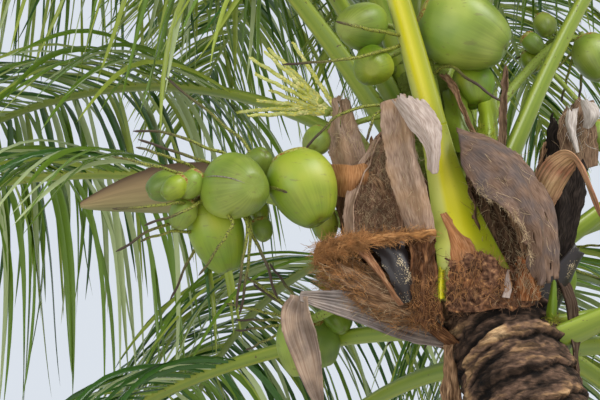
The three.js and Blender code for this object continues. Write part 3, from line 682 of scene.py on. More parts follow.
dice = np.random.default_rng(7)
dealt = {green: [] for green in LEAF_GREENS}
for i, leaf in enumerate(LEAVES):
    shares = LOW_MIX if i < LOW_COUNT else MIDDLE_MIX if i < LOW_COUNT + MIDDLE_COUNT else HIGH_MIX
    grown = leaflets_of(leaf, dice)
    chosen = dice.choice(len(LEAF_GREENS), size=len(grown[3]), p=shares)
    for k, green in enumerate(LEAF_GREENS):
        dealt[green].append([part[chosen == k] for part in grown])
for green, groups in dealt.items():
    arrays = [np.concatenate(parts) for parts in zip(*groups)]
    piece = strips_piece(f"leaflets_{green}", *arrays, LEAFLET_FOLD)
    settle(piece, leaf_blade(f"leaf_blade_{green}", LEAF_GREENS[green]), "leaf_green", *FROND_NODES)


# Cut frond stubs
# Two fronds were cut back close to the trunk. Their bases have dried to a hard, nearly black shell
# with pale specks. Each is the foot of a rib, ended with a flat cut.

STUB_SHARE = 0.05
STUB_ROWS = 18
STUB_WORN = 0.45  # how much narrower the cut end is, as a share
STUB_RAGGED = 0.02
STUBS = (
    {"seat": 3.19, "azimuth": 196, "lean": 44},
    {"seat": 3.15, "azimuth": 322, "lean": 44},
)


def black_base_skin():
    """A dead leaf base: smooth, nearly black and half glossy, with pale specks of 1 to 3 mm."""
    skin = finish_of("black_base_skin", "#231d20", 0.42, Specular_IOR_Level=0.45)
    place = add_node(skin, "TexCoord").outputs["Object"]
    specks = add_node(skin, "TexNoise", {"Scale": 330, "Detail": 1}, {"Vector": place})
    # the specks gather in patches
    drift = add_node(skin, "TexNoise", {"Scale": 22, "Detail": 1}, {"Vector": place})
    both = add_node(skin, "Math", {"operation": "MULTIPLY"}, {0: specks, 1: drift})
    stops = [(0.0, "#211c20"), (0.35, "#2e2624"), (0.375, "#b9a684")]
    to_shader(skin, Base_Color=add_node(skin, "ValToRGB", {"stops": stops}, {"Fac": both}))
    return skin


def wear_down(piece, foot, end, seed):
    """Narrows a stub towards its cut end and makes the cut ragged."""
    places = places_of(piece)
    ahead = unit(end - foot)
    reach = (places - foot) @ ahead
    share = reach / reach.max()
    core = foot + ahead * reach[:, None]
    places = core + (places - core) * (1 - STUB_WORN * smooth(0.35, 1, share))[:, None]
    places += ahead * (STUB_RAGGED * lumps(places, 0.018, seed) * smooth(0.7, 1, share))[:, None]
    piece.data.vertices.foreach_set("co", places.ravel())
    piece.data.update()


BLACK_BASE = black_base_skin()
for i, stub in enumerate(STUBS):
    leaf = limb({**stub, "droop": 100, "length": 4.0, "power": 1})
    piece = rib_piece(f"cut_base_{i + 1}", leaf, STUB_SHARE, STUB_ROWS)
    wear_down(piece, *leaf["point"](np.array([0, STUB_SHARE])), 70 + i)
    settle(piece, BLACK_BASE, "dry_husk", f"old_base_{i + 1}")


# Leaf sheaths
# A coconut leaf is bound to the trunk by a sheath of crossed, stiff brown fibres, like coarse
# burlap. Old ones tear, curl off the trunk and fray. Each is a folded grid, torn at its edges and
# given a thickness. Loose fibres are strewn over the frayed ones.

CLOTH = 0.012
TEARS = 9.5
CLOTH_COLUMNS, CLOTH_ROWS = 56, 64
CLOTH_THICKNESS = 0.003
SHEATHS = {
    "sheath_1": {"from": 168, "to": 203, "low": 3.07, "high": 3.33, "flare": 0.29, "curl": 1},
    "sheath_2": {"from": 178, "to": 222, "low": 3.16, "high": 3.59, "flare": 0.23},
    "sheath_3": {"from": 206, "to": 238, "low": 3.24, "high": 3.68, "flare": 0.15},
    "sheath_4": {"from": 266, "to": 320, "low": 3.19, "high": 3.62, "flare": 0.10},
    "sheath_5": {"from": 322, "to": 374, "low": 3.25, "high": 3.66, "flare": 0.17},
    "sheath_6": {"from": 20, "to": 76, "low": 3.42, "high": 3.80, "flare": 0.07},
    "sheath_7": {"from": 84, "to": 128, "low": 3.42, "high": 3.80, "flare": 0.07},
    "sheath_8": {"from": 134, "to": 172, "low": 3.40, "high": 3.78, "flare": 0.08},
    "sheath_9": {
        "from": 212, "to": 298, "low": 3.045, "high": 3.29, "flare": 0.02, "ragged": 0.012, "thick": 0.034,
    },
}
USUAL = {"curl": 1.5, "ragged": 0.04, "thick": CLOTH}
SHEATHS = {name: {**USUAL, **sheath} for name, sheath in SHEATHS.items()}
# Loose sheets of cloth. Each is given by two to four lines that run up it, from its left to its
# right. A point is the column and row of the picture that it shows at, and metres ahead of the eye.
SHEETS = {
    "beige": (
        ((412, 245, 3.13), (398, 200, 3.13), (385, 150, 3.17), (383, 106, 3.23)),
        ((422, 248, 3.09), (410, 200, 3.10), (400, 150, 3.14), (394, 98, 3.21)),
        ((430, 244, 3.08), (420, 195, 3.09), (412, 148, 3.12), (402, 96, 3.19)),
        ((435, 236, 3.09), (427, 190, 3.11), (417, 150, 3.13), (408, 96, 3.19)),
    ),
    "flap": (
        ((430, 169, 3.10), (425, 146, 3.10), (410, 125, 3.13), (391, 97, 3.18)),
        ((433, 174, 3.08), (431, 147, 3.08), (420, 120, 3.10), (402, 94, 3.15)),
        ((437, 173, 3.09), (440, 148, 3.09), (441, 126, 3.11), (424, 97, 3.16)),
    ),
    "furry": (
        ((352, 245, 3.13), (353, 205, 3.15), (365, 165, 3.20), (378, 134, 3.25)),
        ((378, 246, 3.14), (374, 205, 3.17), (379, 165, 3.21), (384, 132, 3.25)),
        ((408, 245, 3.13), (402, 205, 3.15), (394, 165, 3.19), (389, 130, 3.24)),
    ),
    "strip": (
        ((346, 246, 3.13), (345, 208, 3.15), (359, 168, 3.20), (377, 138, 3.25)),
        ((357, 246, 3.11), (356, 208, 3.13), (369, 170, 3.18), (381, 138, 3.24)),
    ),
    "upper_left": (
        ((330, 168, 3.28), (327, 130, 3.31), (336, 92, 3.35)),
        ((352, 170, 3.24), (344, 130, 3.28), (341, 86, 3.35)),
        ((372, 172, 3.27), (361, 135, 3.32), (348, 92, 3.38)),
    ),
    "cup": (
        ((331, 193, 3.21), (330, 179, 3.19), (331, 165, 3.20)),
        ((349, 197, 3.17), (349, 180, 3.14), (350, 165, 3.16)),
        ((369, 190, 3.21), (368, 176, 3.19), (367, 163, 3.21)),
    ),
    "under_cup": (
        ((343, 244, 3.19), (338, 216, 3.22), (334, 188, 3.23)),
        ((352, 246, 3.18), (349, 216, 3.20), (350, 188, 3.22)),
        ((366, 246, 3.20), (364, 216, 3.23), (366, 186, 3.25)),
    ),
    "pocket": (
        ((432, 330, 3.12), (388, 326, 3.09), (346, 310, 3.08), (321, 284, 3.12)),
        ((428, 310, 3.10), (384, 298, 3.05), (344, 278, 3.04), (318, 262, 3.10)),
        ((412, 292, 3.16), (376, 268, 3.14), (346, 254, 3.13), (323, 243, 3.16)),
    ),
    "lining": (
        ((420, 318, 3.14), (384, 296, 3.13), (345, 272, 3.12), (322, 256, 3.14)),
        ((425, 280, 3.20), (385, 262, 3.20), (350, 250, 3.18), (325, 246, 3.18)),
        ((435, 232, 3.16), (392, 235, 3.14), (350, 238, 3.13), (320, 246, 3.13)),
    ),
    "rim": (
        ((314, 266, 3.09), (350, 251, 3.05), (392, 241, 3.06), (436, 235, 3.08)),
        ((314, 254, 3.07), (350, 243, 3.04), (392, 237, 3.05), (436, 232, 3.07)),
        ((318, 244, 3.11), (350, 236, 3.09), (392, 233, 3.08), (436, 230, 3.09)),
    ),
    "ridge": (
        ((399, 306, 3.03), (376, 274, 3.03), (354, 246, 3.06)),
        ((404, 304, 3.02), (382, 272, 3.02), (362, 243, 3.05)),
    ),
    "gusset": (
        ((404, 326, 3.10), (409, 292, 3.06), (407, 240, 3.08)),
        ((424, 332, 3.08), (424, 288, 3.05), (420, 236, 3.08)),
        ((448, 328, 3.07), (438, 284, 3.06), (434, 234, 3.09)),
    ),
    # the next sheet is near black: it is partly dark brown cloth and partly painted shade, filling the
    # shadowed gap beside the right petiole
    "shade_band": (
        ((536, 292, 3.12), (545, 245, 3.16), (546, 200, 3.22), (541, 150, 3.32), (553, 104, 3.40)),
        ((548, 294, 3.10), (560, 250, 3.13), (568, 205, 3.20), (571, 155, 3.29), (578, 98, 3.37)),
        ((557, 292, 3.12), (571, 250, 3.16), (584, 205, 3.22), (592, 160, 3.31), (600, 102, 3.39)),
    ),
    "axil_green": (
        ((450, 152, 3.27), (446, 122, 3.33), (441, 90, 3.40)),
        ((464, 152, 3.24), (460, 122, 3.30), (453, 90, 3.38)),
        ((476, 150, 3.27), (473, 122, 3.33), (466, 94, 3.40)),
    ),
    "axil_light": (
        ((475, 152, 3.28), (477, 122, 3.35), (478, 98, 3.41)),
        ((487, 154, 3.25), (488, 124, 3.32), (488, 96, 3.40)),
        ((499, 154, 3.28), (499, 124, 3.36), (498, 88, 3.43)),
    ),
    "apron": (
        ((443, 312, 3.05), (446, 284, 3.04), (446, 256, 3.06)),
        ((476, 312, 3.03), (476, 280, 3.02), (474, 246, 3.035)),
        ((514, 306, 3.04), (513, 284, 3.03), (510, 258, 3.05)),
    ),
    "cloak": (
        ((456, 126, 3.20), (502, 140, 3.15), (537, 176, 3.10), (556, 225, 3.07), (558, 280, 3.06)),
        ((459, 140, 3.14), (496, 165, 3.05), (523, 196, 3.01), (541, 236, 3.00), (546, 284, 3.02)),
        ((462, 168, 3.10), (480, 196, 3.04), (506, 213, 2.99), (523, 240, 2.99), (531, 284, 3.02)),
    ),
    "hollow": (
        ((478, 262, 3.08), (469, 212, 3.12), (460, 150, 3.17)),
        ((505, 270, 3.08), (492, 220, 3.14), (478, 160, 3.18)),
        ((532, 282, 3.06), (516, 232, 3.12), (496, 178, 3.16)),
    ),
    "orange_patch": (
        ((514, 300, 3.03), (513, 275, 3.04), (519, 252, 3.06)),
        ((528, 301, 3.02), (528, 275, 3.03), (528, 250, 3.05)),
        ((543, 300, 3.04), (543, 275, 3.05), (539, 252, 3.07)),
    ),
    "shard": (
        ((502, 297, 3.02), (505, 284, 3.03), (510, 271, 3.05)),
        ((510, 298, 3.01), (511, 284, 3.02), (512, 271, 3.04)),
    ),
    "white_torn": (
        ((560, 168, 3.275), (558, 130, 3.30), (568, 98, 3.34)),
        ((578, 170, 3.275), (576, 130, 3.28), (580, 96, 3.33)),
        ((600, 165, 3.30), (597, 130, 3.32), (592, 98, 3.36)),
    ),
    "point": (
        ((450, 270, 3.05), (451, 244, 3.08), (443, 214, 3.12)),
        ((464, 272, 3.03), (458, 242, 3.06), (444, 213, 3.11)),
        ((482, 268, 3.04), (470, 242, 3.08), (445, 213, 3.12)),
    ),
    "clasp": (
        ((440, 302, 3.07), (436, 262, 3.09), (431, 215, 3.14), (425, 165, 3.20), (419, 128, 3.25)),
        ((470, 278, 3.06), (459, 238, 3.08), (450, 200, 3.14), (440, 160, 3.185), (432, 126, 3.235)),
        ((512, 270, 3.07), (493, 235, 3.10), (474, 198, 3.14), (458, 158, 3.19), (447, 122, 3.235)),
    ),
    "flag_left": (
        ((576, 152, 3.22), (567, 132, 3.24), (567, 108, 3.27)),
        ((577, 153, 3.21), (572, 130, 3.23), (573, 105, 3.26)),
        ((579, 152, 3.22), (577, 130, 3.24), (579, 106, 3.27)),
    ),
    "flag_right": (
        ((583, 127, 3.27), (583, 114, 3.26), (581, 99, 3.28)),
        ((588, 129, 3.25), (591, 115, 3.23), (587, 98, 3.26)),
        ((592, 126, 3.27), (599, 115, 3.26), (593, 100, 3.28)),
    ),
    "yellow_strip": (
        ((437, 300, 3.055), (437, 284, 3.06), (438, 266, 3.08)),
        ((441, 301, 3.04), (441, 284, 3.05), (442, 266, 3.07)),
        ((445, 300, 3.055), (445, 284, 3.06), (445, 266, 3.08)),
    ),
    "green_edge": (
        ((544, 333, 3.09), (547, 308, 3.05), (552, 283, 3.03)),
        ((549, 335, 3.08), (552, 308, 3.03), (554, 280, 3.01)),
        ((556, 331, 3.10), (557, 306, 3.05), (556, 283, 3.03)),
    ),
    "axil_strip": (
        ((497, 158, 3.275), (498, 110, 3.35), (505, 64, 3.43)),
        ((506, 158, 3.27), (509, 105, 3.34), (508, 64, 3.42)),
    ),
    "axil_thread": (
        ((476, 147, 3.26), (461, 112, 3.31), (451, 90, 3.35), (438, 75, 3.37)),
        ((482, 145, 3.255), (467, 110, 3.305), (458, 88, 3.34), (449, 71, 3.36)),
    ),
    "scrap": (
        ((448, 432, 3.08), (440, 400, 3.08), (441, 372, 3.09), (445, 345, 3.10)),
        ((454, 434, 3.06), (451, 400, 3.06), (450, 372, 3.07), (448, 345, 3.09)),
        ((460, 430, 3.08), (462, 400, 3.08), (458, 372, 3.09), (452, 345, 3.10)),
    ),
    "black_face": (
        ((402, 304, 3.06), (386, 274, 3.06), (368, 244, 3.09)),
        ((408, 302, 3.05), (400, 272, 3.05), (387, 241, 3.08)),
        ((413, 298, 3.07), (411, 270, 3.06), (407, 240, 3.09)),
    ),
}


def through(points, share):
    """Points on the smooth (centripetal Catmull-Rom) curve through the given ones."""
    points = np.array(points, float)
    ends = np.vstack([2 * points[0] - points[1], points, 2 * points[-1] - points[-2]])
    place = np.atleast_1d(share) * (len(points) - 1)
    k = np.minimum(place.astype(int), len(points) - 2)
    t = (place - k)[:, None]
    a, b, c, d = (ends[k + i] for i in range(4))
    before, here, after = (
        np.maximum(np.linalg.norm(q - p, axis=1, keepdims=True), 1e-6) ** 0.5
        for p, q in ((a, b), (b, c), (c, d))
    )
    leave = ((b - a) / before - (c - a) / (before + here) + (c - b) / here) * here
    arrive = ((c - b) / here - (d - b) / (here + after) + (d - c) / after) * here
    return b + leave * t + (3 * (c - b) - 2 * leave - arrive) * t**2 + (2 * (b - c) + leave + arrive) * t**3


def sheath_table(sheath, out=0, top=1.04):
    """Points of a sheath in rows up it and columns round the trunk. out is further from the trunk."""
    u, w = np.meshgrid(np.linspace(0, 1, CLOTH_COLUMNS + 1), np.linspace(0, top, CLOTH_ROWS + 1))
    foot = float(trunk_radius(sheath["low"])) + (sheath["thick"] - CLOTH) / 2
    s = mix(sheath["low"], sheath["high"], w) + w * sheath["ragged"] * np.sin(u * TEARS + sheath["from"])
    radius = foot + sheath["flare"] * w ** sheath["curl"] + out
    return around_trunk(s, np.radians(mix(sheath["from"], sheath["to"], u)), radius)


def sheet_table(rails):
    """Points of a loose sheet, in rows up it and columns across."""
    places = [[seen_at(*point) for point in rail] for rail in rails]
    lines = np.stack([through(rail, np.linspace(0, 1, CLOTH_ROWS + 1)) for rail in places])
    across = np.linspace(0, 1, CLOTH_COLUMNS + 1)
    return np.stack([through(lines[:, row], across) for row in range(CLOTH_ROWS + 1)])


def crease(table, seed, folds=4, depth=0.008, roll=0.0, crumple=0.006):
    """Folds that run up a cloth, crumples all over it, and a roll at its side edges."""
    rows, columns = table.shape[:2]
    u, w = np.meshgrid(np.linspace(0, 1, columns), np.linspace(0, 1, rows))
    up, across = np.gradient(table, axis=0), np.gradient(table, axis=1)
    tall = np.linalg.norm(up, axis=2).sum(axis=0).mean()
    wide = np.linalg.norm(across, axis=2).sum(axis=1).mean()
    normal = unit(np.cross(across, up))
    flat = np.stack([u * wide, w * tall, 0 * u], axis=-1)
    wave = np.sin(2 * math.pi * (u * folds + 0.3 * np.sin(3 * w + seed)) + seed)
    coarse = lumps(flat * [1, 0.6, 1], 0.05, seed + 2).reshape(u.shape)
    fine = lumps(flat * [1, 0.4, 1], 0.014, seed + 3).reshape(u.shape)
    lift = depth * (0.35 + w) * wave + crumple * (coarse + 0.25 * fine)
    lift += roll * (2 * np.abs(u - 0.5)) ** 4
    slide = crumple * 2 * lumps(flat, 0.03, seed + 4).reshape(u.shape)
    return table + normal * lift[:, :, None] + unit(across) * (slide * (0.2 + w))[:, :, None]


def cloth_piece(name, table, seed, top=0.9, ragged=0.08, side=0.04, slits=0.05, bottom=0.0):
    """One sheet of cloth from its table of points. Its top and sides are torn, and it has slits."""
    rows, columns = table.shape[0] - 1, table.shape[1] - 1

    def shape(u, v):
        return table[np.round(v * rows).astype(int), np.round(u * columns).astype(int)]

    piece = grid_piece(name, columns, rows, shape)
    uv = np.empty(len(piece.data.loops) * 2)
    piece.data.uv_layers.active.data.foreach_get("uv", uv)
    u, v = uv.reshape(-1, 4, 2).mean(axis=1).T
    nought = 0 * u
    rim = top + ragged * lumps(np.stack([u, nought, nought], axis=-1), 0.17, seed + 7)
    rim += 0.6 * ragged * lumps(np.stack([u, nought, nought], axis=-1), 0.045, seed + 8)
    slit = np.abs(lumps(np.stack([u + 0.05 * v, nought, nought], axis=-1), 0.12, seed + 9)) < slits
    left = side * (1 + lumps(np.stack([v, nought, nought], axis=-1), 0.08, seed + 11))
    right = side * (1 + lumps(np.stack([v, nought, nought], axis=-1), 0.08, seed + 12))
    foot = bottom * (1 + 1.2 * lumps(np.stack([u, nought, nought], axis=-1), 0.09, seed + 13))
    gone = (v > rim) | (slit & (v > 0.6 * top)) | (u < left) | (u > 1 - right) | (v < foot)
    bpy.ops.object.mode_set(mode="EDIT")
    bpy.ops.mesh.select_all(action="DESELECT")
    bpy.ops.object.mode_set(mode="OBJECT")
    piece.data.polygons.foreach_set("select", gone)
    bpy.ops.object.mode_set(mode="EDIT")
    bpy.ops.mesh.delete(type="FACE")
    bpy.ops.object.mode_set(mode="OBJECT")
    tall = np.linalg.norm(np.diff(table, axis=0), axis=2).sum(axis=0).mean()
    wide = np.linalg.norm(np.diff(table, axis=1), axis=2).sum(axis=1).mean()
    uv = np.empty(len(piece.data.loops) * 2)
    piece.data.uv_layers.active.data.foreach_get("uv", uv)
    piece.data.uv_layers.active.data.foreach_set("uv", (uv.reshape(-1, 2) * [wide, tall]).ravel())
    wall = piece.modifiers.new("wall", "SOLIDIFY")
    wall.thickness = CLOTH_THICKNESS
    wall.offset = 0
    bpy.ops.object.modifier_apply(modifier=wall.name)
    return piece


def crossed_fibre(name, gap, thread, light, patch, weave=0.8, relief=0.5):
    """Sheath cloth: dry and dead matt. Its fibres run up it in streaks, crossed by a second layer."""
    cloth = finish_of(name, thread, 0.95, Specular_IOR_Level=0.12)
    surface = add_node(cloth, "TexCoord").outputs
    # the UV map is in metres: matted fibres make streaks 3 mm wide and 30 mm long
    stops = [(0.28, gap), (0.48, thread), (0.72, light)]
    streaks, colour = patchy(cloth, surface["UV"], (300, 34, 1), 3, stops)
    # the crossing fibres lie slantwise, in streaks as long
    lay = {"Rotation": (0, 0, 0.9), "Scale": (260, 40, 1)}
    slant = add_node(cloth, "Mapping", lay, {"Vector": surface["UV"]})
    crossing = add_node(cloth, "TexNoise", {"Scale": 1, "Detail": 3}, {"Vector": slant})
    both = add_node(cloth, "Math", {"operation": "ADD"}, {0: streaks, 1: crossing})
    half = add_node(cloth, "Math", {"operation": "MULTIPLY", 1: 0.5}, {0: both})
    # weathered patches of several centimetres
    _, share = patchy(cloth, surface["Object"], 14, 3, [(0.4, "#000000"), (0.6, "#c8c8c8")])
    faded = add_node(cloth, "Mix", {**BLEND, 7: paint(patch)}, {0: share, 6: colour})
    stops = [(0.34, "#8c8c8c"), (0.62, "#ffffff")]
    tone = add_node(cloth, "ValToRGB", {"stops": stops}, {"Fac": half})
    shaded = add_node(cloth, "Mix", {**MULTIPLY, 0: weave}, {6: faded, 7: tone})
    bump = add_node(cloth, "Bump", {"Strength": relief, "Distance": 0.003}, {"Height": half})
    to_shader(cloth, Base_Color=shaded, Normal=bump)
    return cloth


def crumbled_sheath():
    """Rotted sheath: a crumbly matt mat with tan and orange crumbs of 3 to 9 mm. Its dark gaps are painted
    shade, and the palest tan on the crumbs is partly painted highlight.
    """
    mat = finish_of("crumbled_sheath", "#6b4a32", 0.95, Specular_IOR_Level=0.12)
    place = add_node(mat, "TexCoord").outputs["Object"]
    # the ramp runs from painted shade in the gaps, over brown, to tan crumbs whose palest tops are partly
    # painted highlight
    stops = [(0.3, "#35241a"), (0.44, "#6e5140"), (0.58, "#98735b"), (0.72, "#dcb284")]
    crumbs, colour = patchy(mat, place, 105, 6, stops)
    _, tone = patchy(mat, place, 17, 2, [(0.36, "#8a7b73"), (0.5, "#d9c8bb"), (0.62, "#ffe0b8")])
    shaded = add_node(mat, "Mix", {**MULTIPLY, 0: 0.8}, {6: colour, 7: tone})
    bump = add_node(mat, "Bump", {"Strength": 0.8, "Distance": 0.004}, {"Height": crumbs})
    to_shader(mat, Base_Color=shaded, Normal=bump)
    return mat


ORANGE_COIR = crossed_fibre("orange_coir_cloth", "#7c5236", "#bb8350", "#dcae7a", "#c88d52")
BEIGE_COIR = crossed_fibre("beige_coir_cloth", "#927663", "#a88c78", "#bda38f", "#ac8764", 0.35, 0.2)
PALE_COIR = crossed_fibre("pale_coir_cloth", "#a08a7e", "#b8a396", "#cab9ae", "#c2afa5", 0.35, 0.2)
WHITE_COIR = crossed_fibre("white_coir_cloth", "#94867c", "#b5a89e", "#d8cec6", "#c4b8ae", 0.4, 0.2)
BROWN_COIR = crossed_fibre("brown_coir_cloth", "#4f3826", "#8c694e", "#bd9c78", "#a07c5c")
FURRY_COIR = crossed_fibre("furry_coir_cloth", "#5f4434", "#8f6d56", "#b08e75", "#806049", 0.7, 0.5)
RED_COIR = crossed_fibre("red_coir_cloth", "#3b2419", "#704a31", "#a2754f", "#5e3d28", 0.8, 0.6)
# a near-black cloth whose darkness is partly painted shade, for the band beside the right petiole
SHADE_BLACK_COIR = crossed_fibre("shade_black_coir_cloth", "#15100d", "#2a221d", "#463b34", "#201a17", 0.6, 0.4)
GREY_COIR = crossed_fibre("grey_coir_cloth", "#66503f", "#7d6352", "#917766", "#565458", 0.35, 0.2)
DARK_COIR = crossed_fibre("dark_coir_cloth", "#261a13", "#584231", "#84684b", "#664e3a")
TORN_COIR = crossed_fibre("torn_coir_cloth", "#4a382c", "#735a46", "#997e66", "#806651", 0.6, 0.4)
RUSTY_COIR = crossed_fibre("rusty_coir_cloth", "#52301d", "#96603a", "#c2936a", "#b3602f", 0.9, 0.6)
# dried rind where a sheath meets its petiole, smoother than the cloth
PINK_RIND = crossed_fibre("pink_sheath_rind", "#a5683f", "#c08458", "#d49f76", "#ba7d4e", 0.4, 0.3)
ORANGE_RIND = crossed_fibre("orange_sheath_rind", "#6f4630", "#9c6c4c", "#c09a76", "#8d6248", 0.6, 0.4)
WOODY_RIND = crossed_fibre("woody_sheath_rind", "#8f5f3a", "#b07c50", "#c99c70", "#a8744a", 0.4, 0.25)
CRUMBLED = crumbled_sheath()

# node, finish, points, then how it is creased and how it is torn
ON_TRUNK = {name: sheath_table(sheath) for name, sheath in SHEATHS.items()}
LOOSE = {name: sheet_table(rails) for name, rails in SHEETS.items()}
WHOLE = {"top": 1.2, "slits": 0}
NEAR_WHOLE = {"top": 0.97, "slits": 0}
SMOOTH = {"folds": 1, "depth": 0.004, "crumple": 0.003}
LIMP = {"folds": 1.6, "depth": 0.007, "crumple": 0.004, "roll": 0.008}
CRUMBLY = {"folds": 3, "crumple": 0.012}
CLOTHS = (
    ("sheath_1", RED_COIR, sheath_table(SHEATHS["sheath_1"], -0.025), {"folds": 3}, {"top": 0.6}),
    ("sheath_1", BROWN_COIR, LOOSE["pocket"], {"folds": 5, "depth": 0.01}, {"top": 0.97, "slits": 0.02}),
    ("sheath_1", DARK_COIR, LOOSE["lining"], {"folds": 4}, {"top": 0.97, "slits": 0.0}),
    ("sheath_1", ORANGE_COIR, LOOSE["rim"], {"folds": 1, "depth": 0.003}, WHOLE),
    ("sheath_1", ORANGE_RIND, LOOSE["ridge"], SMOOTH, WHOLE),
    ("sheath_9", RED_COIR, LOOSE["gusset"], {"folds": 2}, {"top": 0.97, "slits": 0, "bottom": 0.1}),
    ("sheath_9", CRUMBLED, LOOSE["apron"], CRUMBLY, {"top": 0.86, "slits": 0, "ragged": 0.14}),
    ("sheath_2", BROWN_COIR, ON_TRUNK["sheath_2"], {"folds": 4, "depth": 0.012}, {"top": 0.82}),
    ("sheath_2", FURRY_COIR, LOOSE["furry"], {"folds": 2, "depth": 0.006}, WHOLE),
    ("sheath_2", BROWN_COIR, LOOSE["under_cup"], {"folds": 2}, WHOLE),
    ("sheath_2", BEIGE_COIR, LOOSE["upper_left"], {"folds": 2}, {"top": 0.85}),
    ("sheath_2", WOODY_RIND, LOOSE["cup"], SMOOTH, {**WHOLE, "side": 0.02}),
    ("sheath_2", BEIGE_COIR, LOOSE["strip"], {**SMOOTH, "roll": 0.01}, WHOLE),
    ("sheath_3", BROWN_COIR, ON_TRUNK["sheath_3"], {"folds": 3}, {"top": 0.8}),
    ("sheath_3", BEIGE_COIR, LOOSE["beige"], LIMP, WHOLE),
    ("sheath_3", PALE_COIR, LOOSE["flap"], {**SMOOTH, "roll": 0.006}, {**NEAR_WHOLE, "side": 0.03}),
    ("sheath_4", BROWN_COIR, sheath_table(SHEATHS["sheath_4"], -0.012), {"folds": 4}, {"top": 0.8}),
    ("sheath_4", DARK_COIR, LOOSE["hollow"], {"folds": 3, "depth": 0.02}, {"top": 0.95}),
    ("sheath_4", GREY_COIR, LOOSE["cloak"], {"folds": 2, "crumple": 0.005}, {"top": 0.97, "slits": 0.01}),
    ("sheath_4", RUSTY_COIR, LOOSE["orange_patch"], CRUMBLY, {"side": 0.09, "slits": 0}),
    ("sheath_4", PALE_COIR, LOOSE["shard"], {"folds": 0, "crumple": 0.002}, WHOLE),
    ("sheath_5", BROWN_COIR, ON_TRUNK["sheath_5"], {"folds": 4, "depth": 0.015}, {"top": 0.85}),
    ("sheath_5", TORN_COIR, LOOSE["white_torn"], {"folds": 2}, {"top": 0.9, "slits": 0.01}),
    ("sheath_5", WHITE_COIR, LOOSE["flag_left"], SMOOTH, {"top": 0.92, "slits": 0}),
    ("sheath_5", WHITE_COIR, LOOSE["flag_right"], SMOOTH, {"top": 0.92, "slits": 0}),
    ("sheath_6", DARK_COIR, ON_TRUNK["sheath_6"], {"folds": 5}, {"top": 0.85}),
    ("sheath_7", DARK_COIR, ON_TRUNK["sheath_7"], {"folds": 5}, {"top": 0.85}),
    ("sheath_8", DARK_COIR, ON_TRUNK["sheath_8"], {"folds": 4}, {"top": 0.85}),
    ("sheath_9", PINK_RIND, LOOSE["point"], SMOOTH, {**WHOLE, "side": 0.01}),
    ("sheath_5", SHADE_BLACK_COIR, LOOSE["shade_band"], {"folds": 2}, {"top": 0.92, "slits": 0}),
    ("sheath_4", TORN_COIR, LOOSE["axil_strip"], SMOOTH, {"top": 0.95, "slits": 0, "side": 0.1}),
    ("sheath_4", BROWN_COIR, LOOSE["axil_thread"], SMOOTH, {"top": 0.97, "slits": 0, "side": 0.1}),
    ("sheath_1", BROWN_COIR, LOOSE["scrap"], {"folds": 2, "depth": 0.005}, WHOLE),
)
for number, (node, material, table, drape, torn) in enumerate(CLOTHS):
    seed = 2 * number + 3
    piece = cloth_piece(f"sheath_cloth_{number + 1}", crease(table, seed, **drape), seed, **torn)
    settle(piece, material, "fibre", node)

# the front petiole's own base, which clasps the trunk, and the inner face of an old one beside it
clasp = cloth_piece("front_clasp", LOOSE["clasp"], 90, **WHOLE, side=0.015)
offsets = places_of(clasp)[:, None] - LOOSE["clasp"].reshape(1, -1, 3)
nearest = np.argmin((offsets**2).sum(axis=2), axis=1)
note_value(clasp, "side", (nearest % (CLOTH_COLUMNS + 1)) / CLOTH_COLUMNS)
settle(clasp, GOLDEN_SKIN, "leaf_green", FROND_NODES[FRONT_FROND])
strip = cloth_piece("clasp_edge", LOOSE["yellow_strip"], 94, 0.92, 0.1, 0.14, 0, 0.08)
note_value(strip, "side", np.full(len(strip.data.vertices), 0.45))
settle(strip, GOLDEN_SKIN, "leaf_green", FROND_NODES[FRONT_FROND])
face = cloth_piece("old_base_face", crease(LOOSE["black_face"], 92, **SMOOTH), 92, **WHOLE)
settle(face, BLACK_BASE, "dry_husk", "old_base_1")
# a sliver of green sheath that is left on the stem's right side
sliver = cloth_piece("green_sliver", LOOSE["green_edge"], 96, **WHOLE)
settle(sliver, waxy_rib("sliver_skin", "#748a1e", "#587018", "#98a62e"), "leaf_green", "sheath_5")
# two young leaf bases that wrap the stem between the front petiole and the right one
for number, name in enumerate(("axil_green", "axil_light")):
    wrap = cloth_piece(name, crease(LOOSE[name], 98 + number, **SMOOTH), 98 + number, **WHOLE)
    greens = (("#6c7c1c", "#566614", "#84902a"), ("#8c9c22", "#788a20", "#aab43c"))[number]
    settle(wrap, waxy_rib(f"{name}_skin", *greens), "leaf_green", "trunk")

COLLAR_RIDGES = 3.4
COLLAR_FOOT = 0.38  # the share of its height up to which the mat has rotted away
COLLAR_SINK, COLLAR_THICKNESS = 0.012, 0.034


def collar_points(u, v):
    """The collar is a thick mat of rotted sheath, in ragged ridges, and rounded at its rims."""
    sheath = SHEATHS["sheath_9"]
    flat = np.stack([u * 0.3, v * 0.25, 0 * u], axis=-1)
    foot = COLLAR_FOOT + 0.16 * lumps(flat * [1, 0, 1], 0.05, 65)
    w = mix(foot, 0.94 + 0.1 * lumps(flat * [1, 0, 1], 0.03, 63), v)
    ridge = (w * COLLAR_RIDGES + 0.35 * lumps(flat, 0.09, 64)) % 1
    rough = 0.016 * lumps(flat, 0.035, 61) + 0.01 * lumps(flat, 0.012, 62) + 0.014 * (1 - ridge) ** 2
    rim = np.clip(np.sin(math.pi * np.clip(v, 0, 1)), 0, 1) ** 0.35
    s = mix(sheath["low"], sheath["high"], w)
    radius = float(trunk_radius(sheath["low"])) - COLLAR_SINK + (COLLAR_THICKNESS + rough) * rim
    return around_trunk(s, np.radians(mix(sheath["from"], sheath["to"], u)), radius)


collar = grid_piece("collar_mat", 190, 110, collar_points)
settle(collar, CRUMBLED, "fibre", "sheath_9")

STRAND_STEPS = 6


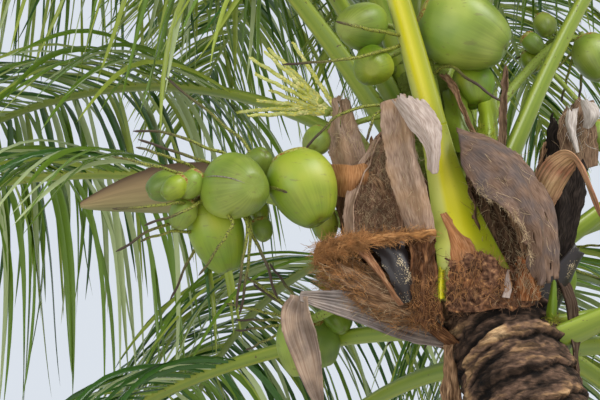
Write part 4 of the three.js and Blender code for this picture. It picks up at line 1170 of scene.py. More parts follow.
def strands_piece(name, roots, headings, lengths, width, wander, droop, dice):
    """Loose fibres: thin three-sided spikes, each bending as it goes."""
    count = len(roots)
    heading = unit(headings)
    points = [roots]
    directions = [heading]
    turn = dice.normal(0, wander, (count, 3))
    for k in range(STRAND_STEPS):
        turn = 0.6 * turn + dice.normal(0, wander, (count, 3))
        heading = unit(heading + turn - UP * droop)
        points.append(points[-1] + heading * (lengths / STRAND_STEPS)[:, None])
        directions.append(heading)
    points, directions = np.stack(points, axis=1), np.stack(directions, axis=1)
    side = unit(np.cross(directions, unit(dice.normal(0, 1, (count, 1, 3)))))
    other = np.cross(directions, side)
    rings = []
    for angle in np.radians((0, 120, 240)):
        away = side * math.cos(angle) + other * math.sin(angle)
        rings.append(points + away * (width / 2)[:, None, None])
    body = np.stack(rings, axis=2)[:, :-1].reshape(count, -1, 3)
    corners = np.concatenate([body, points[:, -1:]], axis=1)
    edges = [(3 * k + j, 3 * k + (j + 1) % 3) for k in range(STRAND_STEPS - 1) for j in range(3)]
    faces = [(0, 2, 1), *((a, b, b + 3, a + 3) for a, b in edges)]
    last = 3 * (STRAND_STEPS - 1)
    faces += [(last + j, last + (j + 1) % 3, last + 3) for j in range(3)]
    return copies_piece(name, corners, faces)


def sow(table, count, reach, lift, across, within, dice):
    """Roots, headings and lengths of fibres on a cloth. within is the part of it they start in."""
    low_u, high_u, low_w, high_w = within
    rows, columns = table.shape[0] - 1, table.shape[1] - 1
    row = (dice.uniform(low_w, high_w, count) * (rows - 1)).astype(int)
    column = (dice.uniform(low_u, high_u, count) * (columns - 1)).astype(int)
    root = table[row, column]
    up = unit(table[row + 1, column] - root)
    over = unit(table[row, column + 1] - root)
    out = unit(np.cross(over, up))
    out *= np.where(np.sum(out * (EYE - root), axis=1) < 0, -1, 1)[:, None]
    heading = up * dice.choice([-1, 1], count, p=(0.2, 0.8))[:, None]
    heading = heading + over * dice.normal(0, across, count)[:, None]
    heading = heading + out * dice.uniform(0, lift, count)[:, None]
    return root + out * 0.005, heading, dice.uniform(*reach, count)


def loose_coir(name, colour):
    """A single coir fibre: stiff, dry and matt, 0.3 mm thick, drawn at about 1 mm so that it shows."""
    fibre = finish_of(name, colour, 0.8, Specular_IOR_Level=0.25)
    place = add_node(fibre, "TexCoord").outputs["Object"]
    _, tone = patchy(fibre, place, 40, 2, [(0.36, "#949494"), (0.64, "#ffffff")])
    mixed = add_node(fibre, "Mix", {**MULTIPLY, 0: 0.8, 6: paint(colour)}, {7: tone})
    to_shader(fibre, Base_Color=mixed)
    return fibre


ALL_OVER = (0.04, 0.96, 0.02, 0.88)
# cloth, number of fibres, their length, how far they stand off it, how slantwise they lie, and where
SOWN = {
    "coir_orange": (
        "#cf965f",
        (
            (LOOSE["pocket"], 1300, (0.015, 0.045), 0.5, 0.7, (0.02, 0.98, 0.5, 0.98)),
            (LOOSE["pocket"], 260, (0.015, 0.04), 0.4, 0.5, (0.02, 0.4, 0.0, 0.6)),
            (LOOSE["rim"], 1100, (0.015, 0.045), 0.4, 0.4, (0.02, 0.98, 0.0, 0.45)),
            (LOOSE["rim"], 420, (0.015, 0.04), 0.25, 0.2, (0.02, 0.98, 0.4, 0.98)),
            (LOOSE["gusset"], 260, (0.01, 0.03), 0.4, 0.6, (0.05, 0.95, 0.0, 0.6)),
            (LOOSE["apron"], 240, (0.015, 0.045), 0.3, 0.4, (0.02, 0.98, 0.2, 0.9)),
            (ON_TRUNK["sheath_9"], 100, (0.01, 0.03), 0.4, 1.0, (0.0, 0.6, 0.4, 0.9)),
            (ON_TRUNK["sheath_1"], 300, (0.02, 0.05), 0.6, 0.8, (0.02, 0.98, 0.3, 0.98)),
        ),
    ),
    "coir_moss": (
        "#b0b03c",
        (
            (LOOSE["green_edge"], 260, (0.01, 0.028), 0.9, 1.5, (0.0, 1.0, 0.0, 0.35)),
            (LOOSE["yellow_strip"], 160, (0.005, 0.012), 0.5, 0.8, (0.0, 1.0, 0.0, 0.95)),
            (LOOSE["pocket"], 220, (0.01, 0.03), 0.5, 1.2, (0.05, 0.4, 0.72, 0.97)),
            (LOOSE["axil_light"], 120, (0.008, 0.02), 0.6, 1.2, (0.1, 0.9, 0.05, 0.5)),
        ),
    ),
    "coir_tan": (
        "#cfb48e",
        (
            (LOOSE["pocket"], 160, (0.03, 0.08), 0.3, 0.3, ALL_OVER),
            (LOOSE["furry"], 700, (0.01, 0.03), 0.4, 1.0, (0.1, 0.9, 0.1, 0.9)),
            (LOOSE["beige"], 60, (0.02, 0.05), 0.1, 0.2, ALL_OVER),
            (LOOSE["upper_left"], 140, (0.015, 0.04), 0.25, 0.4, ALL_OVER),
            (LOOSE["cloak"], 50, (0.02, 0.05), 0.1, 0.2, ALL_OVER),
            (LOOSE["cloak"], 200, (0.01, 0.025), 0.4, 0.4, (0.9, 0.99, 0.2, 0.9)),
            (LOOSE["orange_patch"], 140, (0.015, 0.04), 0.3, 0.4, ALL_OVER),
            (LOOSE["hollow"], 220, (0.015, 0.045), 0.6, 1.3, ALL_OVER),
            (LOOSE["white_torn"], 60, (0.03, 0.07), 0.15, 0.2, ALL_OVER),
            (ON_TRUNK["sheath_9"], 60, (0.02, 0.05), 0.5, 1.5, (0.0, 1.0, 0.4, 0.9)),
            (ON_TRUNK["sheath_5"], 120, (0.03, 0.08), 0.4, 0.5, ALL_OVER),
        ),
    ),
    "coir_brown": (
        "#86634a",
        (
            (LOOSE["furry"], 450, (0.01, 0.03), 0.4, 1.2, (0.1, 0.9, 0.02, 0.5)),
            (LOOSE["under_cup"], 160, (0.015, 0.04), 0.4, 0.6, ALL_OVER),
            (LOOSE["hollow"], 320, (0.015, 0.045), 0.6, 1.3, ALL_OVER),
            (LOOSE["apron"], 160, (0.01, 0.03), 0.3, 0.5, ALL_OVER),
            (LOOSE["pocket"], 260, (0.02, 0.06), 0.4, 0.5, ALL_OVER),
            (LOOSE["gusset"], 120, (0.02, 0.05), 0.4, 0.5, ALL_OVER),
            (ON_TRUNK["sheath_9"], 240, (0.015, 0.04), 0.5, 1.5, (0.0, 1.0, 0.3, 0.5)),
            (ON_TRUNK["sheath_6"], 150, (0.04, 0.1), 0.3, 0.5, ALL_OVER),
            (ON_TRUNK["sheath_7"], 120, (0.04, 0.1), 0.3, 0.5, ALL_OVER),
            (ON_TRUNK["sheath_8"], 120, (0.04, 0.1), 0.3, 0.5, ALL_OVER),
        ),
    ),
    "coir_white": (
        "#efe9e2",
        ((LOOSE["white_torn"], 50, (0.02, 0.05), 0.15, 0.2, (0.2, 0.8, 0.35, 0.85)),),
    ),
}
# the thickness that loose fibres are drawn at
FIBRE_WIDTHS = (0.0006, 0.0012)
dice = np.random.default_rng(19)
for name, (colour, cloths) in SOWN.items():
    sown = [sow(*cloth, dice) for cloth in cloths]
    roots, headings, lengths = (np.concatenate(part) for part in zip(*sown))
    width = dice.uniform(*FIBRE_WIDTHS, len(roots))
    piece = strands_piece(name, roots, headings, lengths, width, 0.16, 0.03, dice)
    settle(piece, loose_coir(f"loose_{name}", colour), "fibre")


# Bunches of nuts
# Each bunch hangs on one thick green stalk. Nuts sit on it by their calyx, and what is left of
# the flower branches sticks out between them, green at the foot and dry at the tip.

NUTS_FROM = 0.4
TWIGS_FROM = 0.72
STALK_END = 0.98
NUT_RIDGE = 0.05
NUT_TAPER = 0.14
STALK_ROWS, STALK_SIDES = 36, 14
TWIG_ROWS, TWIG_SIDES = 30, 6
TWIG_RADIUS = 0.0052
TWIG_KNEES = 9  # bends on its way
TWIG_ZIGZAG, TWIG_WEAVE = 0.0018, 0.0015
TWIG_BOW = 0.12  # the most that it bows, as a share of its length
STALK_TIP = 0.45  # how thick a main stalk is at its end, as a share
NUT_STALK_ROWS, NUT_STALK_RADIUS = 10, 0.008
LARGE_NUT = 0.115  # a nut longer than this has a finer grid
LARGE_GRID, SMALL_GRID = (72, 48), (30, 22)
CALYX_PROUD = 0.0035
CALYX_ON_LARGE, CALYX_ON_SMALL = 0.17, 0.27  # how far it reaches to the tip, as a share
# A nut is given by where it shows and how far ahead, its length and width, the way its tip points
# (right, up, near), its finish and, where its three lobes are faint, how strong they are.
BUNCHES = {
    "bunch_main": {
        "seat": 3.42, "azimuth": 200, "hub": seen_at(235, 190, 3.17), "hump": (0, 0, 0.07),
        "tail": (-0.075, -0.01, 0.04), "thick": 0.022,
        "nuts": (
            ((303, 189, 3.12), (0.205, 0.168), (0.4, -0.9, 0.3), "golden"),
            ((236, 187, 3.06), (0.185, 0.162), (0.55, 0.03, 0.83), "green", 0.15),
            ((216, 234, 3.14), (0.21, 0.138), (0.3, -0.95, 0.1), "golden"),
            ((257, 164, 3.22), (0.098, 0.082), (0.4, 0.5, 0.5), "green"),
            ((190, 185, 3.05), (0.08, 0.064), (-0.4, -0.6, 0.5), "green"),
            ((174, 188, 3.02), (0.075, 0.056), (-0.6, -0.5, 0.5), "golden"),
            ((164, 186, 3.12), (0.095, 0.078), (-0.7, -0.3, 0.4), "green"),
            ((182, 214, 3.07), (0.085, 0.068), (-0.3, -0.8, 0.4), "green"),
            ((259, 212, 3.22), (0.06, 0.052), (0.2, -0.7, 0.4), "golden"),
            ((262, 230, 3.20), (0.064, 0.056), (0.3, -0.8, 0.3), "green"),
            ((325, 226, 3.22), (0.085, 0.066), (0.1, -0.95, 0), "golden"),
        ),
        "twigs": (
            ((249, 150, 3.21), (222, 124, 3.23), (165, 78, 3.26)),
            ((229, 158, 3.14), (205, 147, 3.12), (164, 132, 3.11), (133, 131, 3.10)),
            ((216, 167, 3.13), (200, 160, 3.11), (170, 150, 3.10), (138, 139, 3.08)),
            ((196, 170, 3.12), (165, 156, 3.09), (136, 147, 3.07)),
            ((186, 176, 3.10), (155, 166, 3.06), (112, 156, 3.04)),
            ((196, 203, 3.10), (175, 203, 3.02), (145, 207, 3.00), (112, 209, 3.00)),
            ((203, 200, 3.06), (181, 213, 3.00), (144, 226, 3.00)),
            ((190, 218, 3.12), (155, 228, 3.05), (116, 252, 3.04)),
            ((200, 228, 3.12), (170, 232, 3.06), (140, 241, 3.05)),
            ((203, 232, 3.17), (190, 258, 3.17), (171, 300, 3.18)),
            ((232, 224, 3.00), (222, 242, 3.00), (199, 276, 3.02)),
            ((247, 224, 3.06), (242, 262, 3.05), (235, 310, 3.05)),
            ((250, 226, 3.10), (247, 268, 3.08), (239, 315, 3.08)),
            ((250, 230, 3.12), (264, 258, 3.10), (277, 299, 3.12)),
            ((268, 187, 3.10), (287, 191, 2.96)),
        ),
    },
    "bunch_axil": {
        "seat": 3.54, "azimuth": 245, "hub": seen_at(428, 60, 3.40), "hump": (0, -0.02, 0),
        "tail": (-0.02, 0.06, 0.01), "thick": 0.02,
        "nuts": (
            ((316, 142, 3.30), (0.092, 0.076), (-0.2, -0.5, 0.8), "green"),
            ((361, 26, 3.30), (0.155, 0.126), (-0.6, -0.2, 0.7), "green", 0.2),
            ((373, 66, 3.28), (0.122, 0.106), (-0.1, -0.2, 0.95), "golden", 0.1),
            ((464, 32, 3.37), (0.262, 0.206), (0.85, -0.4, 0.2), "green"),
            ((473, 86, 3.42), (0.134, 0.116), (0.1, -0.85, 0.5), "golden"),
        ),
        "twigs": (
            ((345, 112, 3.22), (306, 148, 3.20)),
            ((350, 58, 3.16), (282, 63, 3.13)),
            ((378, 112, 3.21), (368, 140, 3.19)),
            ((446, 66, 3.34), (470, 80, 3.22), (500, 101, 3.18)),
            ((365, 28, 3.18), (336, 20, 3.15)),
        ),
    },
    "bunch_right": {
        "seat": 3.65, "azimuth": 305, "hub": seen_at(565, 40, 3.75), "hump": (0, 0, 0.04),
        "tail": (0.09, 0, 0.02), "thick": 0.018,
        "nuts": (
            ((545, 26, 3.75), (0.08, 0.07), (0.1, -0.6, 0.6), "green"),
            ((533, 44, 3.72), (0.078, 0.058), (0.6, -0.6, 0.3), "green"),
            ((531, 62, 3.75), (0.074, 0.06), (0.2, -0.8, 0.4), "golden"),
            ((549, 60, 3.80), (0.076, 0.064), (0.3, -0.7, 0.5), "green"),
            ((594, 58, 3.72), (0.15, 0.125), (0.3, -0.8, 0.3), "green"),
            ((600, 136, 3.66), (0.095, 0.08), (0.2, -0.8, 0.4), "green"),
        ),
        "fan": {"angles": np.linspace(195, 330, 6), "reach": 0.19, "sag": 0.02, "depth": 0.6, "seed": 8},
    },
    "bunch_low": {
        "seat": 3.27, "azimuth": 168, "hub": seen_at(315, 318, 3.50), "hump": (0, 0, 0.06),
        "tail": (-0.05, -0.01, 0), "thick": 0.02,
        "nuts": (
            ((297, 347, 3.45), (0.17, 0.118), (0.1, -0.98, 0.1), "green"),
            ((319, 343, 3.62), (0.15, 0.12), (0.2, -0.9, -0.2), "green"),
            ((338, 318, 3.58), (0.1, 0.085), (0.3, -0.6, 0.5), "golden"),
        ),
        "fan": {"angles": np.linspace(126, 204, 7), "reach": 0.22, "sag": 0.01, "depth": 0.8, "seed": 3},
    },
    "bunch_back": {
        "seat": 3.48, "azimuth": 95, "hub": np.array([-1.03, 0.45, 3.45]), "hump": (0, 0, 0.08),
        "tail": (0, -0.11, -0.03), "thick": 0.022, "packed": (5, 0.17, 21),
        "fan": {"angles": np.linspace(200, 340, 6), "reach": 0.23, "sag": 0.04, "depth": 1.6, "seed": 9},
    },
    "bunch_side": {
        "seat": 3.52, "azimuth": 48, "hub": np.array([-0.77, 0.34, 3.45]), "hump": (0, 0, 0.08),
        "tail": (0.03, -0.1, -0.02), "thick": 0.02, "packed": (5, 0.15, 33),
        "fan": {"angles": np.linspace(220, 380, 6), "reach": 0.22, "sag": 0.04, "depth": 1.6, "seed": 4},
    },
}


def laid(offset):
    """An offset to the right, up and near, as a bunch is seen from the ground on the cleared side."""
    return LAY_RIGHT * offset[0] + LAY_UP * offset[1] + LAY_NEAR * offset[2]


def rolls(seed):
    """The seeded run of numbers from 0 to 1 that the solids were made with."""
    state = seed
    while True:
        state = (state * 16807) % 2147483647
        yield state / 2147483647


def bunch_line(bunch):
    turn = math.radians(bunch["azimuth"])
    start = around_trunk(bunch["seat"], turn, float(trunk_radius(bunch["seat"])) - SEAT_DEPTH)
    middle = (start + bunch["hub"]) / 2 + np.array(bunch["hump"])
    return [start, middle, bunch["hub"], bunch["hub"] + laid(bunch["tail"])]


def nearest_on(bunch, point):
    """Where a nut's own short stalk, or a flower branch, joins the main stalk."""
    near = through(bunch_line(bunch), np.linspace(NUTS_FROM, STALK_END, 15))
    return near[np.argmin(np.linalg.norm(near - point, axis=1))]


def stem_piece(name, line, radius, sides=STALK_SIDES):
    """A round stem along a line of points, closed at both ends. radius has one number for each point."""
    line = np.array(line, float)
    count = len(line)
    heading = unit(np.gradient(line, axis=0))
    pole = np.array([0.3, 1.0, 0.1])
    across = unit(np.cross(pole, heading))
    over = np.cross(heading, across)

    def shape(u, v):
        row = np.round(v * (count + 1)).astype(int)
        k = np.clip(row - 1, 0, count - 1)
        size = np.where((row > 0) & (row < count + 1), np.asarray(radius)[k], 0)[:, None]
        turn = (u * 2 * math.pi)[:, None]
        return line[k] + (across[k] * np.cos(turn) + over[k] * np.sin(turn)) * size

    return grid_piece(name, sides, count + 1, shape, rolled=True)


def seen_twigs(bunch):
    """The points of each flower branch that passes the places that it shows at."""
    for places in bunch["twigs"]:
        points = [seen_at(*place) for place in places]
        yield [nearest_on(bunch, points[0]), *points]


def fanned_twigs(bunch):
    """The points of flower branches that fan out at angles that go up from the right."""
    fan = bunch["fan"]
    roll = rolls(fan["seed"])
    line = bunch_line(bunch)
    for angle in np.radians(fan["angles"]):
        start = through(line, mix(TWIGS_FROM, STALK_END, next(roll)))[0]
        away = laid((math.cos(angle), math.sin(angle), (next(roll) - 0.5) * fan["depth"]))
        away = away * fan["reach"] * mix(0.85, 1.1, next(roll))
        yield [start, start + away - UP * fan["sag"]]


def twig_shape(points, dice):
    """A flower branch bends at each old flower scar, where it is a little swollen."""
    share = np.linspace(0, 1, TWIG_ROWS)
    away = points[-1] - points[0]
    side = unit(np.cross(away, dice.normal(0, 1, 3)))
    over = unit(np.cross(away, side))
    bow = dice.uniform(-TWIG_BOW, TWIG_BOW) * np.linalg.norm(away) / (len(points) - 1) ** 2
    knee = np.abs((share * TWIG_KNEES) % 2 - 1) - 0.5
    zigzag = TWIG_ZIGZAG * knee * (0.3 + share)
    weave = TWIG_WEAVE * np.sin(share * 23)
    line = through(points, share) + side * (bow * share**2 + zigzag)[:, None] + over * weave[:, None]
    knots = 1 + 0.16 * np.abs(np.sin(share * math.pi * TWIG_KNEES)) ** 6
    radius = TWIG_RADIUS * mix(1, 0.62, share) * knots
    radius[-1] = 0.001
    return line, radius


def main_stalk(name, bunch):
    """The thick stalk of a bunch, which gets thinner from the trunk to its end."""
    share = np.linspace(0, 1, STALK_ROWS)
    return stem_piece(name, through(bunch_line(bunch), share), bunch["thick"] * mix(1, STALK_TIP, share))


def seen_nuts(bunch):
    """The nuts that show, as they are listed for the bunch."""
    for place, size, tip, tint, *faint in bunch["nuts"]:
        lobes = faint[0] if faint else 1
        yield {"at": seen_at(*place), "size": size, "tip": tip, "tint": tint, "lobes": lobes}


def packed_nuts(hub, count, size, seed):
    """Nuts packed evenly round the end of a stalk, the lowest last."""
    roll = rolls(seed)
    for i in range(count):
        turn = 2.4 * i
        grown = mix(0.82, 1.08, next(roll))
        out = size * 0.55
        off = (math.cos(turn) * out, mix(0.06, -0.15, i / (count - 1)), math.sin(turn) * out)
        yield {
            "at": hub + laid(off),
            "tip": (math.cos(turn) * 0.6, -1, math.sin(turn) * 0.6),
            "size": (size * grown, size * grown * 0.82),
            "tint": ("green", "golden")[i % 2],
            "lobes": 1,
        }


def nut_skin(polar, turn, length, width, proud=0, lobes=1):
    """A nut's surface: an egg with three blunt ridges that end in three lobes round its tip."""
    y = -np.cos(polar)
    lobed = NUT_RIDGE * (1 + (1.2 * lobes - (1 - lobes)) * smooth(0.6, 1, y)) * np.cos(3 * turn)
    blunt = np.sin(polar) ** mix(0.94, 0.84, smooth(0, 1, y))
    wide = (width / 2 * (1 + lobed) * (1 - NUT_TAPER * y) + proud) * blunt
    cleft = lobes * (0.5 - 0.5 * np.cos(3 * turn)) ** 2 * smooth(0.86, 0.99, y)
    tall = (length / 2 + proud) * y * (1 - 0.05 * smooth(0.93, 1, np.abs(y)) - 0.025 * cleft)
    return np.stack([wide * np.cos(turn), tall, wide * np.sin(turn)], axis=-1)


def turned_to(points, tip, centre):
    """Turns points from +Y to the tip's direction and moves them to their centre."""
    turn = Vector((0, 1, 0)).rotation_difference(Vector(tip))
    return points @ np.array(turn.to_matrix()).T + centre


def nut_pieces(bunch, nut):
    """The nut itself, the calyx that caps its upper end, and the short stalk that holds it."""
    length, width = nut["size"]
    centre = nut["at"]
    tip = unit(laid(nut["tip"]))
    large = length > LARGE_NUT
    lobes = nut["lobes"]

    def rind(u, v):
        return turned_to(nut_skin(v * math.pi, u * 2 * math.pi, length, width, 0, lobes), tip, centre)

    def calyx(u, v):
        turn = u * 2 * math.pi
        share = CALYX_ON_LARGE if large else CALYX_ON_SMALL
        reach = share * math.pi * (1 + 0.16 * np.abs(np.cos(3 * turn)))
        proud = CALYX_PROUD * (1 - smooth(0.82, 1, v) * 1.5)
        return turned_to(nut_skin(v * reach, turn, length, width, proud), tip, centre)

    sides, rings = LARGE_GRID if large else SMALL_GRID
    nut_piece = grid_piece("nut", sides, rings, rind, rolled=True)
    # the tip browns first, most of all in the three clefts between its lobes
    turn = np.array(Vector((0, 1, 0)).rotation_difference(Vector(tip)).to_matrix())
    seen = (places_of(nut_piece) - centre) @ turn
    height = np.clip(2 * seen[:, 1] / length, -1, 1)
    cleft = lobes * (0.5 - 0.5 * np.cos(3 * np.arctan2(seen[:, 2], seen[:, 0]))) ** 5
    ripe = 0.95 * smooth(0.972, 0.995, height) + 0.6 * smooth(0.82, 0.96, height) * cleft
    note_value(nut_piece, "ripe", ripe)
    note_value(nut_piece, "tall", height)
    cap = grid_piece("calyx", 30, 8, calyx, rolled=True)
    heel = centre - tip * length * 0.47
    start = nearest_on(bunch, heel)
    bend = (start + heel) / 2 - tip * 0.02
    line = through([start, bend, heel], np.linspace(0, 1, NUT_STALK_ROWS))
    stalk = stem_piece("nut_stalk", line, np.full(NUT_STALK_ROWS, NUT_STALK_RADIUS), 8)
    return nut_piece, cap, stalk


def waxy_rind(name, shade, skin, sun):
    """Green coconut husk: hard and waxy, with a broad soft highlight, faint stripes and a brown tip."""
    rind = finish_of(name, skin, 0.4, Specular_IOR_Level=0.5)
    surface = add_node(rind, "TexCoord").outputs
    # the green drifts over the width of a nut
    _, colour = patchy(rind, surface["Object"], 9, 2, [(0.3, shade), (0.5, skin), (0.7, sun)])
    # stripes run from the stalk to the tip: UV goes once round a nut and once along it
    stops = [(0.36, "#5a5a5a"), (0.6, "#8e8e8e")]
    stripes, tone = patchy(rind, surface["UV"], (75, 1.1, 1), 3, stops)
    tall = add_node(rind, "Attribute", {"attribute_name": "tall"}).outputs["Fac"]
    stops = [(0.0, "#303030"), (0.4, "#b0b0b0")]
    depth = add_node(rind, "ValToRGB", {"stops": stops}, {"Fac": tall})
    striped = add_node(rind, "Mix", OVERLAY, {0: depth, 6: colour, 7: tone})
    # scars are short, thin and dry
    stops = [(0.62, "#000000"), (0.68, "#b0b0b0")]
    _, mask = patchy(rind, surface["Object"], (30, 96, 96), 6, stops)
    scarred = add_node(rind, "Mix", {**BLEND, 7: paint("#6e6238")}, {0: mask, 6: striped})
    bump = add_node(rind, "Bump", {"Strength": 0.1, "Distance": 0.004}, {"Height": stripes})
    to_shader(rind, Base_Color=scarred, Normal=bump)
    return tint_by(rind, "ripe", "#5f4a1e")


def spotted_stalk(name, skin, spot, share, grain=170):
    """A fruit stalk or flower branch: fleshy, smooth and green, with corky brown scars."""
    stalk = finish_of(name, skin, 0.5, Specular_IOR_Level=0.4)
    place = add_node(stalk, "TexCoord").outputs["Object"]
    # scars of 2 to 5 mm, or finer with a higher grain
    scars, colour = patchy(stalk, place, grain, 2, [(share, skin), (share + 0.07, spot)])
    bump = add_node(stalk, "Bump", {"Strength": 0.5, "Distance": 0.002}, {"Height": scars})
    to_shader(stalk, Base_Color=colour, Normal=bump)
    return stalk


# the long corky scar on the nut that faces the view
SCAR = ((205, 177, 3.035), (215, 176, 2.998), (230, 178, 2.976), (245, 183, 2.972))
SCAR_RADIUS = 0.0018

dice = np.random.default_rng(23)
scar_line = through([seen_at(*place) for place in SCAR], np.linspace(0, 1, 24))
scar_radius = SCAR_RADIUS * np.sin(np.linspace(0.15, math.pi - 0.15, 24))
grown = {"golden": [], "green": [], "calyx": [], "stalk": [], "twig": []}
grown["scar"] = [stem_piece("scar", scar_line, scar_radius, 8)]
for bunch in BUNCHES.values():
    grown["stalk"].append(main_stalk("stalk", bunch))
    for nut in seen_nuts(bunch) if "nuts" in bunch else packed_nuts(bunch["hub"], *bunch["packed"]):
        nut_piece, cap, stalk = nut_pieces(bunch, nut)
        grown[nut["tint"]].append(nut_piece)
        grown["calyx"].append(cap)
        grown["stalk"].append(stalk)
    for points in fanned_twigs(bunch) if "fan" in bunch else seen_twigs(bunch):
        line, radius = twig_shape(points, dice)
        twig = stem_piece("twig", line, radius, TWIG_SIDES)
        row = np.argmin(np.linalg.norm(places_of(twig)[:, None] - line[None], axis=2), axis=1)
        green = dice.uniform(0.55, 1.05)
        note_value(twig, "dry", smooth(green - 0.35, green + 0.15, row / (TWIG_ROWS - 1)))
        grown["twig"].append(twig)
branch_skin = spotted_stalk("scarred_branch_skin", "#9ba03c", "#33291a", 0.49, 420)
FINISHES = {
    "golden": ("nuts_golden", waxy_rind("golden_green_rind", "#6f8f1c", "#8a9f26", "#a6ac36")),
    "green": ("nuts_green", waxy_rind("fresh_green_rind", "#6f8a32", "#889c38", "#a4b04e")),
    "calyx": ("nut_calyxes", spotted_stalk("leathery_calyx", "#a3a552", "#94602f", 0.5)),
    "stalk": ("fruit_stalks", spotted_stalk("green_stalk_skin", "#94a544", "#6b5a2a", 0.6)),
    "twig": ("flower_branches", tint_by(branch_skin, "dry", "#46352a")),
    "scar": ("nut_scar", spotted_stalk("corky_scar", "#8f8678", "#6e5a5a", 0.5)),
}
for kind, (name, material) in FINISHES.items():
    settle(join(name, grown[kind]), material, "nut_green", *BUNCHES)


# Young flower branch
# A fresh flower branch has cream-yellow spikes, thickly set with closed buds the size of a
# peppercorn, and a few button nuts at its foot. The buds are small many-sided lumps on the spikes.

BUDS_PER_SPIKE = 130
BUD_LENGTH = 0.011
BUTTON_NUT = 0.024
SPIKE_SWELL = 1.35  # how much thicker a fresh spike is than an old dry twig
FLOWERS = {
    "seat": 3.53, "azimuth": 172, "hub": seen_at(345, 120, 3.42), "hump": (0, 0.055, 0.02),
    "tail": (-0.06, 0.04, 0), "thick": 0.015,
    "fan": {"angles": np.linspace(122, 180, 9), "reach": 0.24, "sag": 0.01, "depth": 0.5, "seed": 17},
}


def lumps_piece(name, centres, directions, lengths, slender=0.6):
    """Many small egg-shaped lumps of 20 faces, each pointing its own way."""
    bpy.ops.object.select_all(action="DESELECT")
    bpy.ops.mesh.primitive_ico_sphere_add(subdivisions=1, radius=0.5)
    ball = bpy.context.object
    ball_points = places_of(ball)
    ball_faces = [list(face.vertices) for face in ball.data.polygons]
    bpy.data.objects.remove(ball)
    ahead = unit(directions)
    side = unit(np.cross(ahead, np.array([0.21, 0.93, 0.3])))
    over = np.cross(ahead, side)
    local = ball_points[None] * lengths[:, None, None]
    placed = (
        centres[:, None]
        + side[:, None] * local[:, :, :1] * slender
        + over[:, None] * local[:, :, 1:2] * slender
        + ahead[:, None] * local[:, :, 2:]
    )
    return copies_piece(name, placed, ball_faces)


def button_nut(at):
    """A nut as small as a button, at the foot of a flower branch."""

    def rind(u, v):
        skin = nut_skin(v * math.pi, u * 2 * math.pi, BUTTON_NUT, BUTTON_NUT * 0.9)
        return turned_to(skin, unit(LAY_UP * 0.4 + LAY_NEAR), at)

    return grid_piece("button", 18, 12, rind, rolled=True)


dice = np.random.default_rng(31)
flower_parts = [main_stalk("flower_stalk", FLOWERS)]
centres, directions, sizes, buttons = [], [], [], []
for points in fanned_twigs(FLOWERS):
    line, radius = twig_shape(points, dice)
    away = points[-1] - points[0]
    flower_parts.append(stem_piece("spike", line, SPIKE_SWELL * radius, TWIG_SIDES))
    place = np.linspace(0.12, 1, BUDS_PER_SPIKE)
    at = np.stack([np.interp(place, np.linspace(0, 1, len(line)), line[:, k]) for k in range(3)], axis=-1)
    out = unit(np.cross(away, dice.normal(0, 1, (BUDS_PER_SPIKE, 3))))
    slender = mix(1.15, 0.6, place)
    centres.append(at + out * (0.0048 * slender)[:, None])
    directions.append(out * 0.25 + unit(away))
    sizes.append(BUD_LENGTH * slender * dice.uniform(0.9, 1.15, BUDS_PER_SPIKE))
    buttons.append(points[0] + away * dice.uniform(0.05, 0.14))
buds = lumps_piece("flower_buds", *(np.concatenate(part) for part in (centres, directions, sizes)))
spike_skin = spotted_stalk("fresh_spike_skin", "#c9cc7a", "#a89a4a", 0.6)
settle(join("flower_spikes", flower_parts), spike_skin, "flower_cream", "flowers_young")
cream = finish_of("cream_buds", "#e6dc72", 0.6, Specular_IOR_Level=0.3)
place = add_node(cream, "TexCoord").outputs["Object"]
# buds near each other ripen together, in patches of a few centimetres
stops = [(0.35, "#b9bc4c"), (0.5, "#e6dc66"), (0.66, "#f4eba2")]
to_shader(cream, Base_Color=patchy(cream, place, 32, 1, stops)[1])
settle(buds, cream, "flower_cream", "flowers_young")
button_nuts = join("button_nuts", [button_nut(at) for at in buttons[::2]])
settle(button_nuts, FINISHES["green"][1], "nut_green", "flowers_young")


# Spathe and dry husks
# A spathe is the woody boat that a flower branch grew in. The husks are dead strips of leaf base.
# Each is a long hollow blade, furrowed lengthwise, bleached where the sun gets at it.

LOW_HUSK_END = (300, 296, 3.0)
# shows has the columns, rows and metres ahead that each passes
HUSKS = {
    "spathe_main": {
        "seat": through(bunch_line(BUNCHES["bunch_main"]), 0.6),
        "shows": ((215, 189, 3.30), (150, 193, 3.30), (80, 205, 3.25)),
        "width": 0.145, "hollow": 0.045, "face": (0, 0.6, 0.8), "foot": 0.25, "furrow": 0.1,
    },
    "husk_low": {
        "shows": ((470, 342, 3.18), (415, 327, 3.12), (360, 308, 3.05), LOW_HUSK_END),
        "width": 0.085, "hollow": 0.016, "face": (0, -0.9, -0.4), "foot": 0.5, "end": 0.94,
    },
    "husk_hanging": {
        "shows": (LOW_HUSK_END, (297, 316, 2.99), (308, 360, 2.98), (322, 412, 2.97)),
        "width": 0.078, "hollow": 0.025, "face": (-0.3, -1, 0), "foot": 0.6, "furrow": 0.3,
    },
    "husk_right": {
        "shows": ((538, 245, 3.20), (548, 185, 3.15), (573, 158, 3.10), (602, 216, 3.08)),
        "width": 0.08, "hollow": 0.012, "face": (0.5, -0.4, 0.8), "foot": 0.6,
    },
    "husk_trailing": {
        "shows": ((548, 258, 3.13), (566, 290, 3.10), (574, 330, 3.10), (577, 378, 3.10)),
        "width": 0.055, "hollow": 0.01, "face": (0.6, -0.8, 0.1), "foot": 0.6,
    },
}
FURROWS = 7


